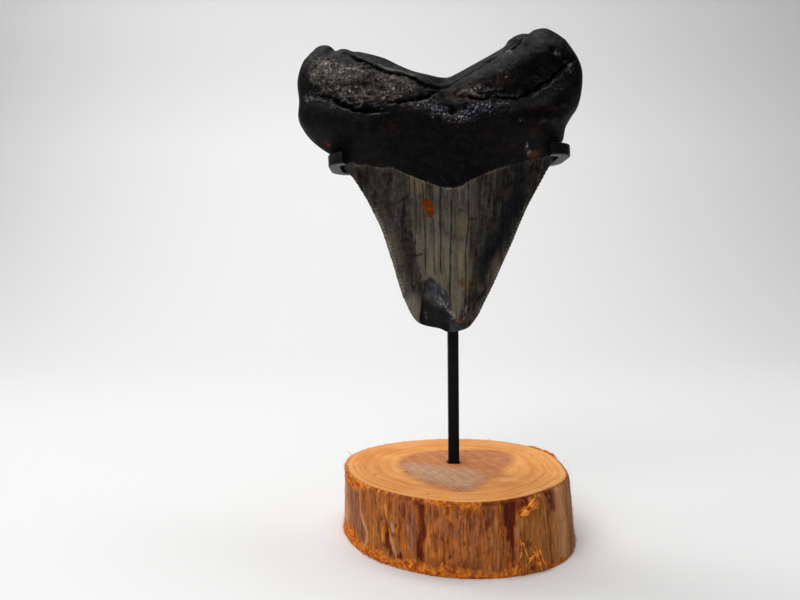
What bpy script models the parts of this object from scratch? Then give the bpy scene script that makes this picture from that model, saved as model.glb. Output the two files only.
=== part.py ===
"""A fossil shark tooth held in a bent steel cradle over a slice of wood.

Lengths are in millimetres and are turned into metres as each mesh is written. The origin lies on the
underside of the wood slice, straight below the upright bar. +Z is up, and the tooth's lingual face
looks along -Y.
"""

import math

import bmesh
import bpy
import numpy as np

MM = 0.001
GAP = 0.3  # clearance between touching pieces
HEAD_GAP = 0.4  # a little more where the upright meets the tilted cradle

# Wood slice
SLICE_HEIGHT = 19.5
SLICE_CENTRE = (0.6, -3.0)
SLICE_SEGMENTS = 96
SLICE_LEVELS = (0.0, 0.9, 2.1, 5.5, 9.5, 13.5, 16.8, 18.7, SLICE_HEIGHT)
FRINGE = 0.35  # the torn lip that the saw left round the underside
SOCKET_DEPTH = 12.0
SOCKET_CLEAR = 1.0  # how far the socket's cutter reaches above the slice

# Square steel bar
BAR = 3.2
BAR_EDGE = 0.2
CRADLE_HEIGHT = 109.85  # middle of the cradle bar, above the underside
CRADLE_TILT = 1.9  # degrees, the right arm stands higher
CRADLE_DEPTH = 15.8  # from the middle of the rear bar to the middle of the front tabs
CRADLE_LEFT = -34.45
CRADLE_RIGHT = 30.85
LEFT_HOOK_END = 256  # degrees round its bend, a little short of facing front
RIGHT_TAB_END = 25.7
BEND_RADIUS = 4.6
BEND_STEPS = 6

# Tooth outline, (x, z) as seen from the front
LEFT_EDGE = [
    (-12.4, 64.0), (-15.5, 72.0), (-18.4, 81.5), (-21.2, 90.0), (-25.4, 98.8), (-29.3, 105.0),
    (-31.8, 108.0), (-32.7, 110.7), (-35.8, 111.7), (-40.4, 114.9), (-43.2, 118.4), (-44.5, 121.8),
    (-44.2, 126.3), (-44.6, 132.0), (-43.1, 137.0), (-40.4, 139.9),
]
RIGHT_EDGE = [
    (7.3, 65.0), (12.1, 74.9), (16.9, 85.4), (21.4, 95.9), (26.9, 106.4), (28.7, 110.0),
    (29.0, 112.7), (30.9, 114.6), (31.6, 118.2), (33.2, 121.2), (34.9, 123.8), (36.1, 128.0),
    (36.4, 132.8), (35.7, 136.2), (33.9, 139.5), (31.5, 142.7),
]
TIP_EDGE = [(-12.4, 64.0), (-8.7, 61.8), (-4.0, 60.6), (-1.8, 59.8), (1.5, 60.1), (4.5, 61.4), (7.3, 65.0)]
TOP_EDGE = [
    (-40.4, 139.9), (-39.2, 141.1), (-37.3, 141.8), (-35.2, 141.5), (-33.7, 140.2), (-32.3, 140.8),
    (-30.6, 140.8), (-28.6, 140.1), (-26.4, 139.9), (-20.1, 138.2), (-15.8, 136.1), (-11.2, 134.2),
    (-3.4, 132.6), (0.2, 133.3), (4.5, 135.5), (13.6, 140.6), (15.8, 143.1), (18.6, 144.4),
    (21.0, 144.5), (22.4, 145.5), (25.6, 146.0), (28.6, 144.7), (31.5, 142.7),
]
TOOTH_COLUMNS = 36
TOOTH_ROWS = 40
BUNCHING = 0.5  # how much closer together the grid's lines stand towards the outline

# Tooth relief, each pair a height z and a size
EDGE_PLANE = [(60, -4.4), (90, -4.8), (104, -6.0), (112, -8.2), (120, -9.8), (147, -9.8)]
CROWN_SWELL = [(60, 2.4), (66, 3.4), (78, 5.4), (92, 7.6), (102, 9.0), (112, 9.6)]
ROOT_SWELL = [(104, 8.4), (111, 9.6), (117, 11.8), (121, 11.6), (126, 9.4), (134, 8.4), (147, 7.6)]
CHEVRON = [
    (-34.0, 109.6), (-23.5, 107.4), (-17.5, 106.4), (-13.4, 104.5), (-8.1, 102.2), (-3.5, 100.7),
    (0.7, 100.9), (3.6, 102.4), (8.3, 104.7), (14.5, 107.0), (18.9, 108.4), (32.0, 112.0),
]
ROOT_BAND = (-1.5, 8.0)  # heights above the chevron between which crown turns into root
MIDDLE_X = -3.0
CROWN_ROUNDING = 1.2  # power of the cosine across the crown's front
ROOT_TAPER = 0.34  # share of its swell that the root loses by the end of a lobe
LOBE_LENGTH = 40.0
ROOT_ROUNDING = 10.0
LABIAL_FACE = -2.0  # y of the flat back, which lies against the cradle
CROWN_BACK_ROUNDING = 0.9  # power of the arch across the crown's back
BACK_ROUNDING = 6.5
LOBE_BACK = 0.9  # how far the lobes swell behind that face, above the cradle
LOBE_BACK_AT = 24.0  # distance of that swelling from the middle
LOBE_BACK_HALF = 10.0
LABIAL_DISH = 1.3
DISH_HEIGHT = 122.0
DISH_HALF = (11.0, 8.0)
ABOVE_CRADLE = (113.5, 120.0)  # heights between which the labial swelling and dish set in
EDGE_HALF = 0.35  # half the thickness of the cutting edge
SERRATED = (-0.93, -0.02)  # stretch of each side edge, on the flat grid, that is cutting edge
SERRATION = 0.3
SERRATION_CUTS = 3
HOLLOW_FADE = 3.0  # distance from the outline within which the hollows die out

# Creases of the root: path, half width and depth
CREASES = [
    ([(-38.8, 125.6), (-34.0, 124.0), (-30.4, 121.3), (-26.4, 120.1), (-22.4, 119.9)], 1.2, 2.2),
    ([(-18.4, 122.8), (-11.6, 123.7), (-7.0, 125.0)], 1.1, 1.5),
    ([(-0.6, 124.4), (3.1, 122.8), (8.9, 123.2), (13.5, 123.8), (19.5, 125.7), (28.6, 131.9),
      (32.2, 135.6)], 1.2, 2.2),
    ([(-28.9, 137.0), (-21.2, 132.6), (-11.5, 130.2), (-5.1, 127.4)], 1.0, 1.8),
    ([(20.3, 143.6), (17.2, 139.6), (12.8, 134.6)], 0.9, 1.0),
]
# Rounded bodies of the two lobes: path, half width and height
PILLOWS = [
    ([(-38.0, 131.0), (-28.0, 128.6), (-18.0, 127.6), (-11.0, 127.2)], 4.4, 1.8),
    ([(4.0, 129.0), (13.0, 131.0), (22.0, 135.0), (28.0, 138.0)], 4.6, 1.8),
    ([(-38.0, 118.6), (-29.0, 115.4), (-20.0, 115.4)], 3.6, 1.0),
    ([(14.0, 117.6), (24.0, 120.6), (30.0, 125.0)], 3.8, 1.0),
]
# Step down to the plate along the upper edge of the left lobe
RIM = [(-34.0, 139.4), (-28.9, 137.6), (-21.2, 133.4), (-11.5, 131.0), (-5.1, 128.2), (-2.6, 129.4)]
RIM_STEP = 2.2
RIM_SLOPE = 1.6
RIM_LEFT_END = (-35.0, -31.0)
RIM_RIGHT_END = (1.0, -3.0)
NUTRIENT_GROOVE = [(-2.6, 134.0), (-2.2, 127.0), (-1.4, 120.8)]
GROOVE_HALF = 3.0
GROOVE_DEPTH = 2.4
# Holes in the root: x, z, radius and depth, the foramen first
PITS = [
    (-1.4, 120.6, 1.4, 2.2), (26.9, 137.0, 1.1, 1.0), (-39.0, 135.0, 1.2, 0.6), (-30.0, 129.0, 1.6, 0.5),
    (-24.5, 127.2, 1.3, 0.5),
]
# Flake lost from the tip: its side borders, each pair a height z and an x, its top and its depth
SPALL_LEFT = [(60.0, -10.2), (75.6, -8.6)]
SPALL_RIGHT = [(58.0, 1.2), (68.0, -2.6), (75.4, -3.6)]
SPALL_TOP = 75.6
SPALL_DEPTH = 1.1
SPALL_SOFT = 0.6

# Slice outline at the rim and at the foot, each pair an angle in degrees, -90 the front, and a radius
RIM_OUTLINE = [
    (-180, 33.4), (-154, 32.2), (-125, 31.3), (-100, 31.9), (-88, 32.4), (-65, 31.9), (-48, 31.6),
    (-26, 32.5), (0, 31.8), (26, 33.2), (57, 32.8), (86, 31.4), (105, 31.5), (122, 32.5), (142, 34.0),
    (162, 34.5),
]
FOOT_OUTLINE = [
    (-180, 33.7), (-165, 32.3), (-138, 30.9), (-119, 30.2), (-88, 30.9), (-66, 32.2), (-48, 33.6),
    (-30, 34.0), (-8, 33.7), (24, 33.5), (57, 33.0), (88, 31.8), (115, 32.3), (142, 33.8), (162, 34.3),
]
BARK_FADE_TOP = 1.2  # heights over which the bark's relief dies out at the rim and at the foot
BARK_FADE_FOOT = 3.0
FRINGE_BAND = (2.4, 1.2)
# Bark, each strip a start and an end angle and how far it stands out
BARK = [
    (-180, -166, 0.2), (-166, -146, -0.4), (-146, -123, 0.35), (-123, -114, 0.1), (-114, -109, -0.6),
    (-109, -92, 0.15), (-92, -75, 0.0), (-75, -68, -0.7), (-68, -48, 0.7), (-48, -45, -0.5),
    (-45, -27, 0.5), (-27, -8, 0.1), (-8, 14, 0.2), (14, 32, 0.5), (32, 40, -0.6), (40, 71, 0.2),
    (71, 79, -0.5), (79, 104, 0.6), (104, 112, -0.4), (112, 139, 0.3), (139, 147, -0.6), (147, 180, 0.3),
]
BARK_TURN = 2.0  # degrees over which one strip gives way to the next

# Finishes: colour, roughness and metallic
BONE_BLACK = ((0.035, 0.034, 0.036), 0.3, 0.0)
SAWN_WOOD = ((0.58, 0.31, 0.13), 0.7, 0.0)
BLACK_STEEL = ((0.012, 0.012, 0.013), 0.35, 0.6)
SMOOTH_ANGLE = 40
TABLE_STEPS = 5  # points that a smooth curve gets for each of its knots
OUTLINE_STEPS = 12  # the same for the tooth's outline
WELD = 0.00001
ARRIS_ANGLE = 50


def smooth(low, high, value):
    """Smooth step from 0 at low to 1 at high."""
    share = np.clip((value - low) / (high - low), 0.0, 1.0)
    return share * share * (3.0 - 2.0 * share)


def spline(points, steps):
    """Catmull-Rom curve through the points, with that many points for each knot."""
    knots = np.array(points, float)
    knots = np.vstack([2 * knots[0] - knots[1], knots, 2 * knots[-1] - knots[-2]])
    u = np.linspace(0.0, 1.0, steps, endpoint=False)[:, None]
    runs = []
    for a, b, c, d in zip(knots, knots[1:], knots[2:], knots[3:]):
        run = 2 * b + (c - a) * u + (2 * a - 5 * b + 4 * c - d) * u**2 + (3 * b - a - 3 * c + d) * u**3
        runs.append(0.5 * run)
    return np.vstack(runs + [knots[-2]])


def along(curve, share):
    """Points at the given shares of the curve's length."""
    steps = np.linalg.norm(np.diff(curve, axis=0), axis=1)
    length = np.concatenate([[0.0], np.cumsum(steps)])
    at = share * length[-1]
    return np.stack([np.interp(at, length, curve[:, 0]), np.interp(at, length, curve[:, 1])], axis=1)


def distance(x, z, path):
    """Distance of each point from a polyline."""
    path = np.array(path, float)
    nearest = np.full(len(x), np.inf)
    for (ax, az), (bx, bz) in zip(path, path[1:]):
        dx, dz = bx - ax, bz - az
        share = np.clip(((x - ax) * dx + (z - az) * dz) / (dx * dx + dz * dz), 0.0, 1.0)
        nearest = np.minimum(nearest, np.hypot(x - ax - share * dx, z - az - share * dz))
    return nearest


def hump(value):
    """Bell curve, 1 at zero."""
    return np.exp(-(value**2))


def table(pairs, value):
    """Size read from a list of pairs joined by a smooth curve."""
    curve = spline(pairs, TABLE_STEPS)
    return np.interp(value, curve[:, 0], curve[:, 1])


def round_table(pairs, angle):
    """Radius at an angle in degrees, from a closed list of pairs."""
    turned = [(at + turn, size) for turn in (-360, 0, 360) for at, size in pairs]
    return table(turned, angle)


def outline_patch(across, up):
    """Plane position (x, z) of a grid point, from the four edges of the outline."""
    left, right = (along(spline(edge, OUTLINE_STEPS), up) for edge in (LEFT_EDGE, RIGHT_EDGE))
    low, high = (along(spline(edge, OUTLINE_STEPS), across) for edge in (TIP_EDGE, TOP_EDGE))
    a, b = across[:, None], up[:, None]
    corners = (1 - a) * (1 - b) * np.array(LEFT_EDGE[0]) + a * (1 - b) * np.array(RIGHT_EDGE[0])
    corners = corners + (1 - a) * b * np.array(LEFT_EDGE[-1]) + a * b * np.array(RIGHT_EDGE[-1])
    return (1 - a) * left + a * right + (1 - b) * low + b * high - corners


def outline_distance(x, z):
    """Distance of each point from the tooth's outline."""
    edges = [spline(edge, TABLE_STEPS) for edge in (LEFT_EDGE, RIGHT_EDGE, TIP_EDGE, TOP_EDGE)]
    return np.min([distance(x, z, edge) for edge in edges], axis=0)


def round_off(depth, radius):
    """Quarter-round profile: 0 at the outline, 1 from the radius inwards."""
    share = 1.0 - np.clip(depth / radius, 0.0, 1.0)
    return np.sqrt(np.clip(1.0 - share**2, 0.0, 1.0))


def root_share(x, z):
    """0 on the crown and 1 on the root, turning over a band above the chevron."""
    return smooth(*ROOT_BAND, z - table(CHEVRON, x))


def front_swell(side, x, z, depth):
    """How far the lingual face stands in front of the edge plane."""
    crown = table(CROWN_SWELL, z) * np.cos(side * math.pi / 2) ** CROWN_ROUNDING + EDGE_HALF
    taper = 1.0 - ROOT_TAPER * np.clip(np.abs(x - MIDDLE_X) / LOBE_LENGTH, 0.0, 1.0) ** 2
    root = table(ROOT_SWELL, z) * taper
    for path, half_width, height in PILLOWS:
        root += height * hump(distance(x, z, path) / half_width)
    root = root * round_off(depth, ROOT_ROUNDING) + EDGE_HALF
    share = root_share(x, z)
    return (1 - share) * crown + share * root


def back_swell(side, x, z, depth):
    """How far the labial face stands behind the edge plane."""
    reach = LABIAL_FACE - table(EDGE_PLANE, z) - EDGE_HALF
    lobes = LOBE_BACK * hump((np.abs(x - MIDDLE_X) - LOBE_BACK_AT) / LOBE_BACK_HALF)
    dish = LABIAL_DISH * hump((x - MIDDLE_X) / DISH_HALF[0]) * hump((z - DISH_HEIGHT) / DISH_HALF[1])
    reach = reach + (lobes - dish) * smooth(*ABOVE_CRADLE, z)
    crown = reach * (1 - side**2) ** CROWN_BACK_ROUNDING
    root = reach * round_off(depth, BACK_ROUNDING)
    share = root_share(x, z)
    return (1 - share) * crown + share * root + EDGE_HALF


def hollow(x, z):
    """Depth carved into the lingual face by creases, the nutrient groove, pits and the chipped tip."""
    depth = np.zeros(len(x))
    for path, half_width, deep in CREASES:
        depth += deep * hump(distance(x, z, path) / half_width)
    between = smooth(*RIM_LEFT_END, x) * smooth(*RIM_RIGHT_END, x)
    depth += RIM_STEP * smooth(0.0, RIM_SLOPE, z - table(RIM, x)) * between
    depth += GROOVE_DEPTH * hump(distance(x, z, NUTRIENT_GROOVE) / GROOVE_HALF)
    for pit_x, pit_z, radius, deep in PITS:
        depth += deep * hump(np.hypot(x - pit_x, z - pit_z) / radius)
    return depth + chip(x, z)


def chip(x, z):
    """Step of the flake lost from the tip."""
    inward = np.minimum(x - table(SPALL_LEFT, z), table(SPALL_RIGHT, z) - x)
    beside = smooth(-SPALL_SOFT / 2, SPALL_SOFT, inward)
    return SPALL_DEPTH * beside * smooth(SPALL_SOFT, -SPALL_SOFT, z - SPALL_TOP)


def tooth_point(across, up, back):
    """Position on the tooth, in millimetres, of grid points on one face."""
    x, z = outline_patch(across, up).T
    side = 2 * across - 1
    depth = outline_distance(x, z)
    plane = table(EDGE_PLANE, z)
    if back:
        y = plane + back_swell(side, x, z, depth)
    else:
        swell = front_swell(side, x, z, depth)
        y = plane - np.maximum(swell - hollow(x, z) * round_off(depth, HOLLOW_FADE), EDGE_HALF)
    return np.stack([x, y, z], axis=1)


def cut_serrations(grid):
    """Splits the cutting edges of the flat grid and returns the places that will stand out."""
    edges = [e for e in grid.edges if all(on_cutting_edge(v, -1) for v in e.verts)]
    edges += [e for e in grid.edges if all(on_cutting_edge(v, 1) for v in e.verts)]
    bmesh.ops.subdivide_edges(grid, edges=edges, cuts=SERRATION_CUTS)
    places = set()
    for side in (-1, 1):
        row = sorted(place(v) for v in grid.verts if on_cutting_edge(v, side))
        places.update(row[1::2])
    return places


def place(vert):
    """Position on the flat grid, rounded so that it can be looked up."""
    return round(vert.co.x, 5), round(vert.co.y, 5)


def on_cutting_edge(vert, side):
    """True for a vertex of the flat grid that lies on one cutting edge."""
    return abs(vert.co.x - side) < 1e-6 and SERRATED[0] <= vert.co.y <= SERRATED[1]


def spread(value):
    """Moves evenly spaced values in -1..1 closer together towards both ends."""
    return (1 - BUNCHING) * value + BUNCHING * np.sin(value * math.pi / 2)


def build_tooth(collection):
    """The tooth: a flat grid made into a thin slab, each vertex then moved to its place."""
    slab = bmesh.new()
    bmesh.ops.create_grid(slab, x_segments=TOOTH_COLUMNS, y_segments=TOOTH_ROWS, size=1.0)
    bumps = cut_serrations(slab)
    bmesh.ops.triangulate(slab, faces=[f for f in slab.faces if len(f.verts) > 4])
    made = bmesh.ops.extrude_face_region(slab, geom=slab.faces[:])
    back = {v for v in made["geom"] if isinstance(v, bmesh.types.BMVert)}
    for verts, is_back in (([v for v in slab.verts if v not in back], False), (list(back), True)):
        flat = np.array([place(v) for v in verts])
        across = 0.5 + 0.5 * spread(flat[:, 0])
        up = spread(0.5 + 0.5 * flat[:, 1])
        points = tooth_point(across, up, is_back)
        stands_out = [place(v) in bumps for v in verts]
        points[:, 0] += SERRATION * np.array(stands_out) * np.sign(flat[:, 0])
        for vert, point in zip(verts, points):
            vert.co = point * MM
    bmesh.ops.recalc_face_normals(slab, faces=slab.faces)
    return finish("tooth", slab, collection, BONE_BLACK)


def bark(angle):
    """How far the bark stands out from the mean outline, angle in degrees."""
    out = 0.0
    for start, end, height in BARK:
        out += height * (smooth(start, start + BARK_TURN, angle) - smooth(end, end + BARK_TURN, angle))
    return out


def slice_radius(angle, height):
    """Distance of the bark from the slice's centre line."""
    rise = height / SLICE_HEIGHT
    radius = rise * round_table(RIM_OUTLINE, angle) + (1 - rise) * round_table(FOOT_OUTLINE, angle)
    shown = smooth(0.0, BARK_FADE_TOP, SLICE_HEIGHT - height) * smooth(0.0, BARK_FADE_FOOT, height)
    return radius + bark(angle) * shown + FRINGE * smooth(*FRINGE_BAND, height)


def build_slice(collection):
    """The wood slice: a cylinder cut into levels and pushed out to the bark, with a socket for the bar."""
    wood = bmesh.new()
    bmesh.ops.create_cone(wood, cap_ends=True, segments=SLICE_SEGMENTS, radius1=1, radius2=1, depth=1)
    upright = [e for e in wood.edges if abs(e.verts[0].co.z - e.verts[1].co.z) > 0.5]
    bmesh.ops.subdivide_edges(wood, edges=upright, cuts=len(SLICE_LEVELS) - 2)
    for vert in wood.verts:
        level = round((vert.co.z + 0.5) * (len(SLICE_LEVELS) - 1))
        height = SLICE_LEVELS[level]
        turn = math.atan2(vert.co.y, vert.co.x)
        radius = slice_radius(math.degrees(turn), height)
        x = SLICE_CENTRE[0] + radius * math.cos(turn)
        y = SLICE_CENTRE[1] + radius * math.sin(turn)
        vert.co = (x * MM, y * MM, height * MM)
    bmesh.ops.recalc_face_normals(wood, faces=wood.faces)
    slice_object = finish("wood_slice", wood, collection, SAWN_WOOD)
    socket = box("socket", BAR + 2 * GAP, SLICE_HEIGHT - SOCKET_DEPTH - GAP, SLICE_HEIGHT + SOCKET_CLEAR)
    cut = slice_object.modifiers.new("socket", "BOOLEAN")
    cut.operation = "DIFFERENCE"
    cut.object = socket
    return slice_object


def box(name, side, low, high):
    """A square column on the origin's axis, as a hidden cutter."""
    column = bmesh.new()
    bmesh.ops.create_cube(column, size=1.0)
    for vert in column.verts:
        vert.co.x *= side * MM
        vert.co.y *= side * MM
        vert.co.z = (low if vert.co.z < 0 else high) * MM
    mesh = bpy.data.meshes.new(name)
    column.to_mesh(mesh)
    column.free()
    cutter = bpy.data.objects.new(name, mesh)
    cutter.hide_render = True
    cutter.display_type = "WIRE"
    collection_named("cutters").objects.link(cutter)
    return cutter


def build_upright(collection):
    """The upright: a square bar from its socket up to the cradle, just under the weld."""
    bar = bmesh.new()
    bmesh.ops.create_cube(bar, size=1.0)
    foot = SLICE_HEIGHT - SOCKET_DEPTH
    head = CRADLE_HEIGHT - BAR / 2 - HEAD_GAP
    for vert in bar.verts:
        vert.co.x *= BAR * MM
        vert.co.y *= BAR * MM
        vert.co.z = (foot if vert.co.z < 0 else head) * MM
    upright = finish("upright_bar", bar, collection, BLACK_STEEL)
    soften(upright)
    return upright


def soften(part):
    """Slightly rounded arrises, as drawn steel bar has."""
    weld = part.modifiers.new("weld", "WELD")
    weld.merge_threshold = WELD
    edge = part.modifiers.new("edge", "BEVEL")
    edge.width = BAR_EDGE * MM
    edge.segments = 1
    edge.limit_method = "ANGLE"
    edge.angle_limit = math.radians(ARRIS_ANGLE)


def cradle_line():
    """Centre line of the cradle in plan, from the left tab round the back to the right tab."""
    front = -CRADLE_DEPTH
    line = []
    corners = [
        (CRADLE_LEFT + BEND_RADIUS, front + BEND_RADIUS, LEFT_HOOK_END, 180),
        (CRADLE_LEFT + BEND_RADIUS, -BEND_RADIUS, 180, 90),
        (CRADLE_RIGHT - BEND_RADIUS, -BEND_RADIUS, 90, 0),
        (CRADLE_RIGHT - BEND_RADIUS, front + BEND_RADIUS, 0, -90),
    ]
    for centre_x, centre_y, start, end in corners:
        for step in range(BEND_STEPS + 1):
            turn = math.radians(start + (end - start) * step / BEND_STEPS)
            line.append((centre_x + BEND_RADIUS * math.cos(turn), centre_y + BEND_RADIUS * math.sin(turn)))
    return line + [(RIGHT_TAB_END, front)]


def offset_line(line, side):
    """The line moved sideways by half a bar."""
    points = np.array(line)
    heading = np.gradient(points, axis=0)
    heading[0], heading[-1] = points[1] - points[0], points[-1] - points[-2]
    heading /= np.linalg.norm(heading, axis=1)[:, None]
    return points + side * BAR / 2 * np.stack([-heading[:, 1], heading[:, 0]], axis=1)


def build_cradle(collection):
    """The cradle: one bar bent round the back of the tooth and hooked in front of each shoulder."""
    line = cradle_line()
    outline = np.vstack([offset_line(line, 1), offset_line(line, -1)[::-1]])
    curve = bpy.data.curves.new("cradle_outline", "CURVE")
    curve.dimensions = "2D"
    curve.fill_mode = "BOTH"
    curve.extrude = BAR / 2 * MM
    spline_loop = curve.splines.new("POLY")
    spline_loop.points.add(len(outline) - 1)
    for point, (x, y) in zip(spline_loop.points, outline):
        point.co = (x * MM, y * MM, 0.0, 1.0)
    spline_loop.use_cyclic_u = True
    bent = bpy.data.objects.new("cradle_outline", curve)
    collection.objects.link(bent)
    evaluated = bent.evaluated_get(bpy.context.evaluated_depsgraph_get())
    solid = bmesh.new()
    solid.from_mesh(bpy.data.meshes.new_from_object(evaluated))
    bmesh.ops.remove_doubles(solid, verts=solid.verts, dist=WELD)
    bmesh.ops.recalc_face_normals(solid, faces=solid.faces)
    bpy.data.objects.remove(bent)
    cradle = finish("cradle_bar", solid, collection, BLACK_STEEL)
    cradle.location.z = CRADLE_HEIGHT * MM
    cradle.rotation_euler.y = -math.radians(CRADLE_TILT)
    soften(cradle)
    return cradle


def finish(name, shape, collection, look):
    """Writes a bmesh out as a named object with its own material."""
    colour, roughness, metallic = look
    mesh = bpy.data.meshes.new(name)
    shape.to_mesh(mesh)
    shape.free()
    mesh.shade_smooth()
    mesh.set_sharp_from_angle(angle=math.radians(SMOOTH_ANGLE))
    material = bpy.data.materials.new(name)
    material.use_nodes = True
    shader = material.node_tree.nodes["Principled BSDF"]
    shader.inputs["Base Color"].default_value = (*colour, 1.0)
    shader.inputs["Roughness"].default_value = roughness
    shader.inputs["Metallic"].default_value = metallic
    mesh.materials.append(material)
    part = bpy.data.objects.new(name, mesh)
    collection.objects.link(part)
    return part


def collection_named(name):
    """The collection of that name, made if it isn't there yet."""
    found = bpy.data.collections.get(name)
    if found is None:
        found = bpy.data.collections.new(name)
        bpy.context.scene.collection.children.link(found)
    return found


def main():
    for leftover in list(bpy.data.objects):
        bpy.data.objects.remove(leftover, do_unlink=True)
    parts = collection_named("megalodon_tooth")
    build_slice(parts)
    build_upright(parts)
    build_cradle(parts)
    build_tooth(parts)


main()
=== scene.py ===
"""A fossil shark tooth in its bent steel cradle over a slice of wood, finished for display.

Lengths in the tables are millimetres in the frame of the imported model. The origin lies on the underside
of the wood slice, straight below the upright. +Z is up, and the tooth's lingual face looks along -Y.
"""

import math
from functools import partial, reduce
from types import SimpleNamespace

import bmesh
import bpy
import numpy as np
from mathutils import Matrix, Vector, noise


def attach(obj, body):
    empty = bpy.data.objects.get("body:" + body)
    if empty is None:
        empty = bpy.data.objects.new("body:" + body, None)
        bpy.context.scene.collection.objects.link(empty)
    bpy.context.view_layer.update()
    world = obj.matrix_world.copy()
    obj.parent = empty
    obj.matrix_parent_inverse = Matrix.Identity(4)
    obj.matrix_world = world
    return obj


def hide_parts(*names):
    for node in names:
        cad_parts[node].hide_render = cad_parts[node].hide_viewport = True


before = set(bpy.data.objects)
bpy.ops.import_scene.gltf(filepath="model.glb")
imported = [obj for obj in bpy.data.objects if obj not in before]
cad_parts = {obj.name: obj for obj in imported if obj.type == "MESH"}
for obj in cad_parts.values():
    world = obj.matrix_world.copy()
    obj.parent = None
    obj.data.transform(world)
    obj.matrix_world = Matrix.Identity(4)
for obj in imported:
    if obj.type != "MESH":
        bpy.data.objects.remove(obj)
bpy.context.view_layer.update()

MM = 0.001
GAP = 0.3  # clearance round and under the upright in its socket

# --------------------------------------------------------------------------- tooth form
# Outline, (x, z) as seen from the front
LEFT_EDGE = [
    (-11.7, 63.7), (-13, 65.8), (-14.4, 68.9), (-15.6, 72), (-18.4, 81.5), (-21.2, 90), (-25.4, 98.8),
    (-29.3, 105), (-31.8, 108), (-32.7, 110.7), (-35.8, 111.7), (-40.4, 114.9), (-43.2, 118.4),
    (-44.5, 121.8), (-44.2, 126.3), (-44.6, 132), (-43.1, 137), (-40.4, 139.9),
]
RIGHT_EDGE = [
    (7.3, 65), (12.1, 74.9), (16.9, 85.4), (21.4, 95.9), (26.9, 106.4), (28.7, 110), (29, 112.7),
    (30.9, 114.6), (31.6, 118.2), (33.2, 121.2), (34.9, 123.8), (36.1, 128), (36.4, 132.8), (35.7, 136.2),
    (33.9, 139.5), (31.5, 142.7),
]
TIP_EDGE = [
    (-11.7, 63.7), (-10.2, 62.4), (-8, 61.6), (-4.2, 60.8), (-1.8, 59.8), (1.5, 60.1), (4.5, 61.4),
    (7.3, 65),
]
TOP_EDGE = [
    (-40.4, 139.9), (-39.2, 141.1), (-37.3, 141.8), (-35.2, 141.5), (-33.7, 140.2), (-32.3, 140.8),
    (-30.6, 140.8), (-28.6, 140.1), (-26.4, 139.9), (-20.1, 138.2), (-15.8, 136.1), (-11.2, 134.2),
    (-3.4, 132.6), (0.2, 133.3), (4.5, 135.5), (13.6, 140.6), (15.8, 143.1), (18.6, 144.4), (21, 144.5),
    (22.4, 145.5), (25.6, 146), (28.6, 144.7), (31.5, 142.7),
]
TOOTH_COLUMNS = 264
TOOTH_ROWS = 280
BUNCHING = 0.25  # how much closer together the columns stand towards the cutting edges
ROW_PACE = [(0, 0), (0.1, 0.07), (0.45, 0.53), (1, 1)]  # more rows for the tip and the root

# By height z: the y of the tooth's edge, and how far the crown and the root swell in front of it
EDGE_PLANE = [(60, -4.4), (90, -4.8), (104, -6), (112, -8.2), (120, -9.8), (147, -9.8)]
CROWN_SWELL = [(60, 2.4), (66, 3.4), (78, 5.4), (92, 7.6), (102, 9), (112, 9.6)]
ROOT_SWELL = [(104, 8.4), (111, 9.6), (117, 11.8), (121, 11.6), (126, 9.4), (134, 8.4), (147, 7.6)]
# Border between enamel and bone, in front and behind, as (x, z)
CHEVRON = [
    (-34, 109.6), (-23.5, 107.4), (-17.5, 106.4), (-13.4, 104.5), (-8.1, 102.2), (-3.5, 100.7),
    (0.7, 100.9), (3.6, 102.4), (8.3, 104.7), (14.5, 107), (18.9, 108.4), (32, 112),
]
BACK_CHEVRON = [(-34, 112.5), (-24, 113.8), (-10, 117), (-3, 117.8), (6, 117.2), (20, 114.5), (32, 113.6)]
LABIAL_FACE = -2.0  # y of the back face
LOBE_BACK = 0.9  # how much further back the two lobes stand
BACK_INSET = 0.25  # how far the finished back lies inside its smooth form
LABIAL_DISH = 1.3  # depth of the hollow between the lobes
MIDDLE_X = -3.0  # x of the tooth's middle
ROOT_ROUNDING = 10.0  # radius of the root's edge in front
BACK_ROUNDING = 6.5  # and behind
EDGE_HALF = 0.35  # half thickness of the tooth at its edge
SERRATION = 0.3  # how far the serrations stand out
SERRATION_PITCH = 1.2  # along the edge
EDGE_SLOPE = 1.1  # length of cutting edge for each millimetre of height
BACK_NOISE = 90.0  # third place of the back's noise, away from the front's 0

# Creases of the root: path, reach above and below it, and depth
CREASES = [
    ([(-39.4, 125.9), (-36.4, 125.2), (-33.8, 124.1), (-31.6, 122.6), (-29.4, 121.2), (-26.4, 120.3),
      (-22, 119.9), (-19.4, 120.2)], 0.62, 0.26, 2),
    ([(-19.4, 122.5), (-16.8, 122.2), (-14.2, 122.5), (-11.3, 122.9), (-8.6, 123.7),
      (-5.6, 125.9)], 0.5, 0.28, 1.8),
    ([(-0.6, 124.5), (1.6, 124.2), (5.6, 122.9), (8.8, 123.6), (12.4, 123.7), (15.6, 123.5),
      (19.2, 125.1), (21.5, 126.3), (24.1, 128.2), (27.5, 131), (30, 133.3),
      (32.5, 136)], 0.55, 0.26, 1.9),
    ([(-29.6, 137.9), (-27.1, 135.9), (-23.8, 134.2), (-20.4, 132.3), (-18.2, 130.9), (-14.9, 131),
      (-11.1, 129.4), (-8.5, 127.4), (-5.1, 127.3), (-2.8, 128)], 0.26, 0.72, 1.7),
    ([(20.3, 143.8), (17.8, 140.2), (16, 138.1), (13.8, 136.7)], 0.3, 0.25, 0.6),
    ([(-25.6, 124.4), (-23.4, 123.4), (-21, 123.6)], 0.4, 0.25, 0.9),
    ([(4.6, 134.9), (8.4, 134.4), (12, 135.6)], 0.4, 0.3, 0.35),
]
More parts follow.
